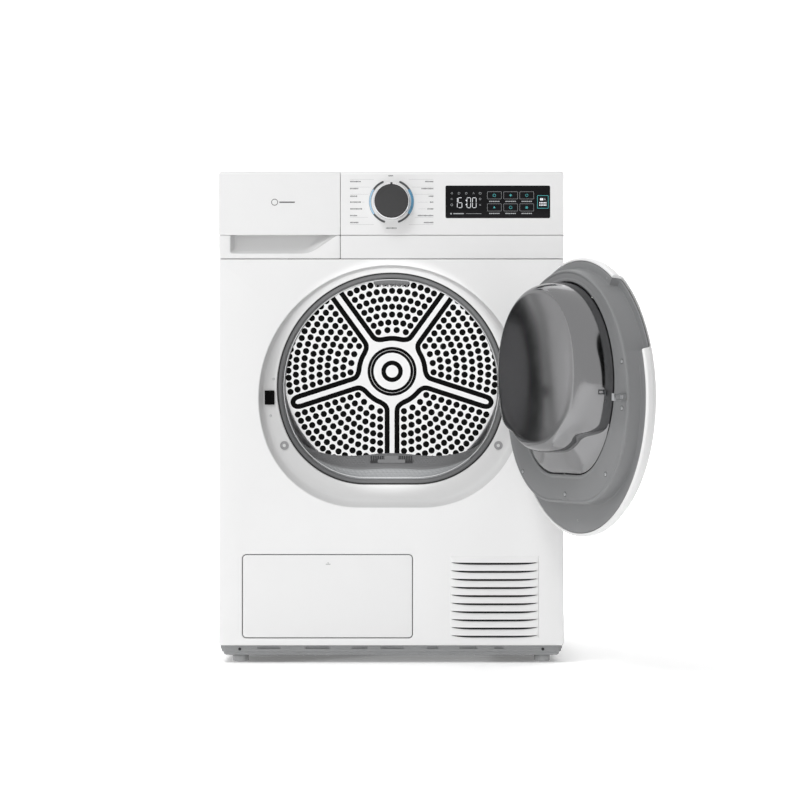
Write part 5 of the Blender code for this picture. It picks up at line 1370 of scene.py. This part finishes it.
    def lifter(self, index: int) -> None:
        """A lifter: a rounded ridge whose section shrinks towards both ends, carried along the drum."""
        half_wide, tall = 0.034, 0.058
        t = np.linspace(-1, 1, 25)
        section = np.stack([half_wide * t, tall * (np.cos(t * math.pi / 2) ** 0.8)], 1)
        a = math.radians(150 + 120 * index)
        u, w = np.array([math.cos(a), math.sin(a)]), np.array([-math.sin(a), math.cos(a)])
        rings = []
        for share, y in zip((0.55, 0.86, 0.97, 1.0, 1.0, 0.97, 0.86, 0.55),
                            (0.126, 0.130, 0.138, 0.150, 0.436, 0.448, 0.456, 0.460)):
            wide, high = section[:, 0] * (0.7 + 0.3 * share), section[:, 1] * share
            reach = np.sqrt(self.radius ** 2 - wide ** 2) - 0.0006 - high
            flat = np.outer(reach, u) + np.outer(wide, w)
            rings.append(np.stack([flat[:, 0] + self.centre[0], np.full(len(flat), y), flat[:, 1] + self.centre[1]], 1))
        patch = skin(np.stack(rings))
        self.shop.piece(f"lifter_{index + 1}", patch, PALE, "drum", [f"drum_lifter_{index + 1}"], sharp=50)


@dataclass
class Door:
    """The door: white outer ring, smoked window, grey inner frame with its finger pocket, mirrored bowl."""

    shop: Workshop
    rim: float = 0.2300
    plateau: Disc = (0.2095, 0.1740, 0.155, DOOR_Z)
    bowl: Disc = (0.1650, 0.1490, 0.100, 0.4820)
    plateau_y: float = 0.0235
    bowl_y: float = 0.0790
    pocket: Pair = (121.5, 160.0)
    centre: Pair = (0.0, DOOR_Z)

    def build(self) -> None:
        """Makes the ring, the window, the frame, the bowl and the small fittings."""
        self.ring()
        self.window()
        self.inner_frame()
        self.mirror_bowl()
        self.fittings()

    def in_pocket(self, count: int) -> Array:
        """How far each ring point is inside the finger pocket's angles: 0 outside, 1 inside, S curve between."""
        a = np.degrees((np.arange(count) + 0.5) * 2 * math.pi / count)
        return smooth((a - self.pocket[0]) / 0.9 + 0.5) * smooth((self.pocket[1] - a) / 0.9 + 0.5)

    def in_hinge(self, rings: Array) -> Array:
        """How far points are inside the hinge's notch: 0 outside, 1 inside."""
        beyond = smooth((rings[..., 0] - NOTCH_START) / NOTCH_BLEND)
        return beyond * smooth((NOTCH_HALF - np.abs(rings[..., 2] - DOOR_Z)) / NOTCH_BLEND)

    def ring(self) -> None:
        """The outer ring, turned at 540 points, its rear edge drawn forward where fingers and hinge go."""
        profile = [(0.1662, -0.0348), (0.2010, -0.0304), (0.2196, -0.0240), (self.rim - 0.0004, -0.0128),
                   (self.rim - 0.0001, -0.0035), (0.2272, -0.0011), (0.2243, -0.0011), (0.2243, -0.0042),
                   (0.2271, -0.0062), (0.2270, -0.0120), (0.2180, -0.0214), (0.2002, -0.0276), (0.1662, -0.0322)]
        count = 540
        around = circle(1.0, count)
        rings = np.stack([np.stack([r * around[:, 0], np.full(count, y), DOOR_Z + r * around[:, 1]], 1)
                          for r, y in profile])
        rings = softened(rings, 0.0022, 4, looped=True)
        pocket, hinge = self.in_pocket(count)[None, :], self.in_hinge(rings)
        rings[..., 1] -= pocket * np.maximum(rings[..., 1] + 0.0168, 0.0)
        floor = np.where(np.arange(len(rings)) < 24, 0.0229, 0.0221)[:, None]
        rings[..., 1] -= hinge * np.maximum(rings[..., 1] + floor, 0.0)
        self.shop.piece("door_ring_white", skin(rings, looped=True), WHITE, "door", ["door_outer_ring"], Space.DOOR, 50)

    def window(self) -> None:
        """The smoked outer window, slightly domed, with a thin bright ring where it meets the white one."""
        glass = [(0.0002, -0.0408), (0.0600, -0.0405), (0.1250, -0.0386), (0.1640, -0.0356), (0.1652, -0.0340),
                 (0.1640, -0.0326), (0.1250, -0.0356), (0.0600, -0.0376), (0.0002, -0.0378)]
        self.shop.piece("door_window_glass", turned(glass, self.centre, 0.0010, looped=False), WINDOW, "door",
                        ["door_window"], Space.DOOR, 40)
        trim = [(0.1657, -0.0352), (0.1672, -0.0362), (0.1690, -0.0350), (0.1672, -0.0340)]
        self.shop.piece("door_window_trim", turned(trim, self.centre, 0.0006), RIM, "door", (), Space.DOOR, 40)

    def inner_frame(self) -> None:
        """The grey frame: flange, skirt, plateau with a flat bottom, and the bowl's hole, with the pocket sunk in.

        Inside the pocket's angles the flange goes down by 12.5 mm, and a low bead runs round the plateau's edge.
        """
        count = 540
        pocket = self.in_pocket(count)
        flange = -0.0011 - 0.0125 * pocket
        rim = circle(0.2238, count, (0.0, DOOR_Z))
        skirt = flat_disc(self.plateau, 0.0014, count)
        top = flat_disc(self.plateau, 0.0, count)
        hole = flat_disc(self.bowl, 0.0012, count)
        y = self.plateau_y - 0.0002
        chain = [
            upright(rim, flange - 0.0010), upright(offset(rim, 0.0008), flange), upright(skirt, flange),
            upright(top, y - 0.0030), upright(offset(top, 0.0016), y), upright(offset(top, 0.0046), y),
            upright(offset(top, 0.0056), y - 0.0009), upright(offset(hole, -0.0060), y - 0.0009),
            upright(offset(hole, -0.0040), y - 0.0002), upright(hole, y - 0.0002), upright(hole, y - 0.0040),
            upright(offset(skirt, 0.0060), y - 0.0045), upright(offset(skirt, 0.0060), -0.0172),
            upright(offset(rim, 0.0006), -0.0172),
        ]
        rings = softened(chain, 0.0016, 4, looped=True)
        beyond = np.maximum(rings[..., 0] - 0.2030, 0.0) * (rings[..., 1] < 0.004)
        rings[..., 0] -= 0.94 * beyond * smooth((NOTCH_HALF - np.abs(rings[..., 2] - DOOR_Z)) / NOTCH_BLEND)
        self.shop.piece("door_frame_grey", skin(rings, looped=True), GREY, "door", ["door_inner_frame"], Space.DOOR, 45)

    def mirror_bowl(self) -> None:
        """The bowl: a steep round wall over the sides, and a ledge before the wall along its lower edge.

        With phi from 0 to a right angle, the wall goes in by 1 - cos(phi)^0.7 and up by sin(phi)^0.7. Towards the
        bottom, by the weight c of the angle, the first 58% of the way is a ledge that climbs only 30%.
        """
        count = 360
        base = flat_disc(self.bowl, 0.0, count)
        a = (np.arange(count) + 0.5) * 2 * math.pi / count
        middle, half_wide, half_high, power = 0.5080, 0.1200, 0.1180, 0.90
        start, ledge_in, ledge_up, wall_up, crown = 0.012, 0.58, 0.30, 0.955, 0.0035
        face = np.stack([half_wide * np.sign(np.cos(a)) * np.abs(np.cos(a)) ** power,
                         middle + half_high * np.sign(np.sin(a)) * np.abs(np.sin(a)) ** power], 1)
        low = smooth((-np.sin(a) - 0.40) / 0.40)[:, None]
        phi = np.linspace(0, math.pi / 2, 34)
        go_in, go_up = 1 - np.cos(phi) ** 0.7, np.sin(phi) ** 0.7
        depth = self.bowl_y - self.plateau_y
        steps = [(start + low * ledge_in * s, 0.02 + ledge_up * low[:, 0] * s) for s in np.linspace(0, 1, 9)[1:]]
        first_in, first_up = steps[-1]
        steps += [(first_in + (1 - first_in) * i, first_up + (wall_up - first_up) * u)
                  for i, u in zip(go_in[1:], go_up[1:])]
        rings = [upright(base + (face - base) * 0.008, self.plateau_y - 0.0012)]
        rings += [upright(base + (face - base) * share, self.plateau_y + depth * rise) for share, rise in steps]
        edge = rings[-1]
        hub = np.array([0.0, 0.0, middle])
        for k in np.linspace(0, 1, 16)[1:]:
            s = 1 - 0.995 * k
            ring = hub + (edge - hub) * s
            ring[:, 1] = edge[:, 1] + crown * math.sin(k * math.pi / 2)
            rings.append(ring)
        patch = skin(np.stack(rings))
        self.shop.piece("door_bowl_mirror", patch, BOWL, "door", ["door_bowl"], Space.DOOR, 60)

    def fittings(self) -> None:
        """Screws ringed by dark rings that paint the shade of shallow wells, the moulded mark under the bowl and the
        latch hook's loop.
        """
        y = self.plateau_y - 0.0010
        spots = [(0.150, 0.333), (-0.137, 0.335), (0.0, 0.299), (-0.190, 0.515), (-0.190, 0.441)]
        flange_y, flange_spots = -0.0024, [(0.0, 0.2555), (0.057, 0.676), (-0.099, 0.651)]
        placed = [(spot, y) for spot in spots] + [(spot, flange_y) for spot in flange_spots]
        screws = [screw(x, z, at, 0.0031, 1.0) for (x, z), at in placed]
        self.shop.piece("door_screws", joined(screws), ZINC, "door", (), Space.DOOR, 50)
        # Dark rings round the screws, barely proud of the frame: painted shade for the wells.
        welled = [(spot, y - 0.0002) for spot in spots] + [(flange_spots[0], flange_y)]
        section = [(0.0030, 0.0), (0.0043, 0.0), (0.0043, 0.0004), (0.0030, 0.0004)]
        wells = [turned([(r, at + d) for r, d in section], spot, 0.0, steps=32) for spot, at in welled]
        self.shop.piece("door_screw_well_shade", joined(wells), RING, "door", (), Space.DOOR, 50)
        mark = bar(-0.010, 0.010, 0.2895, 0.2912, y, y + 0.0006)
        self.shop.piece("door_frame_mark", mark, GREY, "door", (), Space.DOOR, 40)
        z = DOOR_Z
        x0, x1 = -0.2071, -0.2045
        top = 0.0488
        loop = [(0.0235, z - 0.0058), (0.0235, z + 0.0058), (top, z + 0.0058), (top, z - 0.0058)]
        hole = [(0.0300, z - 0.0030), (0.0300, z + 0.0030), (0.0445, z + 0.0030), (0.0445, z - 0.0030)]

        def place(a: Array, b: Array, depth: Array) -> Array:
            """Stands the hook's sheet across the door."""
            return np.stack([x0 + depth, a, b], -1)

        sheet = plate(np.array(loop), [np.array(hole)], [(0.0002, 0.0), (0.0, 0.0002), (0.0, x1 - x0)], place)
        nose = bar(-0.2125, x0 + 0.0004, z - 0.0056, z + 0.0056, 0.0462, 0.0488, 0.0006)
        foot = bar(-0.2068, -0.1885, z - 0.0058, z + 0.0058, 0.0235, 0.0248, 0.0012)
        self.shop.piece("latch_hook_loop", joined([sheet, nose, foot]), ZINC, "door", ["latch_hook"], Space.DOOR, 30)


@dataclass
class Flap:
    """The service flap and the cover behind it."""

    shop: Workshop
    low: Pair = FLAP_OPENING[0]
    high: Pair = FLAP_OPENING[1]

    def build(self) -> None:
        """Makes the flap with its ears and push mark, the gap's seal, and the exchanger's cover with raised ribs."""
        (x0, z0), (x1, z1) = self.low, self.high
        outline = rounded_box((x0 + 0.0012, z0 + 0.0015), (x1 - 0.0012, z1 - 0.0012), 0.0062, 8)
        face = plate(outline, [], [(0.0010, 0.0001), (0.0004, 0.0003), (0.0, 0.0008), (0.0, 0.0024)])
        ears = [bar(x - 0.006, x + 0.006, 0.0475, 0.0540, 0.0022, 0.0088, 0.001) for x in (x0 + 0.03, x1 - 0.03)]
        catch = bar(-0.125, -0.095, z1 - 0.0138, z1 - 0.0092, 0.0022, 0.0078, 0.001)
        self.shop.piece("flap_moulding", joined([face, *ears, catch]), WHITE, "flap", ["service_flap"], sharp=30)
        mark = [bar(*place, 0.0002, 0.00005)
                for place in ((-0.1130, -0.1050, 0.1700, 0.1712), (-0.1096, -0.1084, 0.1718, 0.1740))]
        self.shop.piece("flap_push_mark", joined(mark), HAIRLINE, "flap")
        seal = plate(rounded_box((-0.264, 0.036), (0.044, 0.194), 0.008, 8),
                     [rounded_box((-0.250, 0.050), (0.030, 0.181), 0.006, 6)], rolled(0.0004, 0.0014, 2),
                     at_depth(0.0126))
        self.shop.piece("flap_gap_seal", seal, RUBBER, "cabinet", sharp=30)
        plain = rounded_box((-0.2445, 0.0525), (0.0195, 0.1795), 0.010, 6)
        holes = [circle(0.0034, 24, (x, 0.116)) for x in (-0.215, -0.010)]
        body = plate(plain, holes, rolled(0.0008, 0.0038, 3), at_depth(0.0242))
        ribs = [bar(x, x + 0.003, 0.066, 0.166, 0.0228, 0.0250, 0.001) for x in np.arange(-0.190, -0.03, 0.022)]
        self.shop.piece("exchanger_cover_ribbed", joined([body, *ribs]), PALE, "cabinet", ["exchanger_cover"], sharp=30)


@dataclass(frozen=True)
class Lamp:
    """A light: its place, the place it points at, its size and its power, in the cabinet's coordinates.

    A square light's size is its side in metres, and a spot's is its cone's full angle in degrees.
    """

    name: str
    kind: str
    at: Triple
    to: Triple
    size: float
    power: float

    def data(self) -> bpy.types.Light:
        """The light's own settings."""
        lamp = bpy.data.lights.new(self.name, self.kind)
        lamp.energy = self.power
        if self.kind == "SPOT":
            lamp.spot_size, lamp.spot_blend, lamp.shadow_soft_size = math.radians(self.size), 0.05, 0.02
        else:
            lamp.size = self.size
        return lamp


@dataclass
class Studio:
    """The pale floor, the soft lights and the camera."""

    shop: Workshop
    distance: float = 5.0
    view_width: float = 1.3797
    eye: Pair = (0.0150, 0.4538)
    surround: float = 0.78
    lamps: tuple[Lamp, ...] = (
        Lamp("key_soft", "AREA", (-2.6, -4.4, 7.4), (0.0, 0.0, 0.4), 2.4, 290.0),
        Lamp("backdrop_wash", "AREA", (0.0, 1.8, 3.0), (0.0, 7.0, 1.4), 4.0, 260.0),
        Lamp("drum_glow", "SPOT", (0.0, -4.6, 0.472), (0.0, 0.45, 0.497), 4.75, 900.0),
    )

    def build(self) -> None:
        """Sets the stage."""
        self.floor()
        self.card()
        self.world()
        sx, sy, _ = self.shop.shift
        for lamp in self.lamps:
            self.hang(lamp)
        view = bpy.context.scene.view_settings
        view.view_transform, view.look = "Standard", "None"
        camera = bpy.data.cameras.new("front_camera")
        camera.lens = camera.sensor_width * self.distance / self.view_width
        camera.clip_end = 50.0
        made = bpy.data.objects.new("front_camera", camera)
        bpy.context.scene.collection.objects.link(made)
        made.location = (self.eye[0] + sx, sy - self.distance, self.eye[1])
        made.rotation_euler = (math.radians(90), 0.0, 0.0)
        bpy.context.scene.camera = made

    def floor(self) -> None:
        """A wide sheet that curves up far behind: height = 0.7 (distance past 3.5 m)^2."""
        u, v = np.meshgrid(np.linspace(-9, 9, 7), np.linspace(-9, 7, 41))
        z = 0.7 * np.maximum(v - 3.5, 0.0) ** 2 - 0.0006
        patch = skin(np.stack([u, v, z], -1), closed=False, caps=False)
        self.staged("studio_floor", patch, FLOOR)

    def card(self) -> None:
        """A dark card beyond the right edge, unseen by the camera, that shades surfaces turned to the right.

        It bows: x = 3.0 + 0.1 (y + 2)^2.
        """
        v, w = np.meshgrid(np.linspace(-5.0, 0.6, 15), np.linspace(0.02, 4.2, 5))
        patch = skin(np.stack([3.0 + 0.1 * (v + 2.0) ** 2, v, w], -1), closed=False, caps=False)
        self.staged("studio_card", patch, VOID).visible_camera = False

    @staticmethod
    def staged(name: str, patch: Patch, finish: Finish) -> bpy.types.Object:
        """A stage object made from a patch."""
        mesh = bpy.data.meshes.new(name)
        mesh.from_pydata(patch[0].tolist(), [], patch[1])
        mesh.shade_smooth()
        mesh.materials.append(finish.material())
        made = bpy.data.objects.new(name, mesh)
        bpy.context.scene.collection.objects.link(made)
        return made

    def world(self) -> None:
        """An even pale surround."""
        world = bpy.data.worlds.new("studio_surround")
        world.use_nodes = True
        back = world.node_tree.nodes["Background"]
        back.inputs["Color"].default_value = (1.0, 1.0, 1.0, 1.0)
        back.inputs["Strength"].default_value = self.surround
        bpy.context.scene.world = world

    def hang(self, lamp: Lamp) -> None:
        """Links a light, points it, and keeps it out of reflections."""
        made = bpy.data.objects.new(lamp.name, lamp.data())
        made.visible_glossy = False
        bpy.context.scene.collection.objects.link(made)
        shift = Vector(self.shop.shift)
        start, end = Vector(lamp.at) + shift, Vector(lamp.to) + shift
        made.matrix_world = Matrix.Translation(start) @ (end - start).to_track_quat("-Z", "Y").to_matrix().to_4x4()


def main() -> None:
    """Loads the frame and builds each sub-assembly in turn."""
    logging.basicConfig(level=logging.INFO, format="%(name)s: %(message)s")
    for obj in list(bpy.data.objects):
        bpy.data.objects.remove(obj)
    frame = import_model()
    shop = Workshop(frame)
    for part in (Shell(shop), Controls(shop), Opening(shop), Drum(shop), Door(shop), Flap(shop), Studio(shop)):
        before = shop.count
        part.build()
        LOG.info("%s built with %d pieces", type(part).__name__, shop.count - before)
    shop.dress({"drum_shaft": STEEL, "door_recess": BEZEL_GREY_AND_PAINTED_SHADE, "hinge_leaf": ZINC, "lint_filter": SIEVE,
                "filter_duct": SIEVE, "front_bulkhead": RING, "latch_catch": BLACK})


if __name__ == "__main__":
    main()
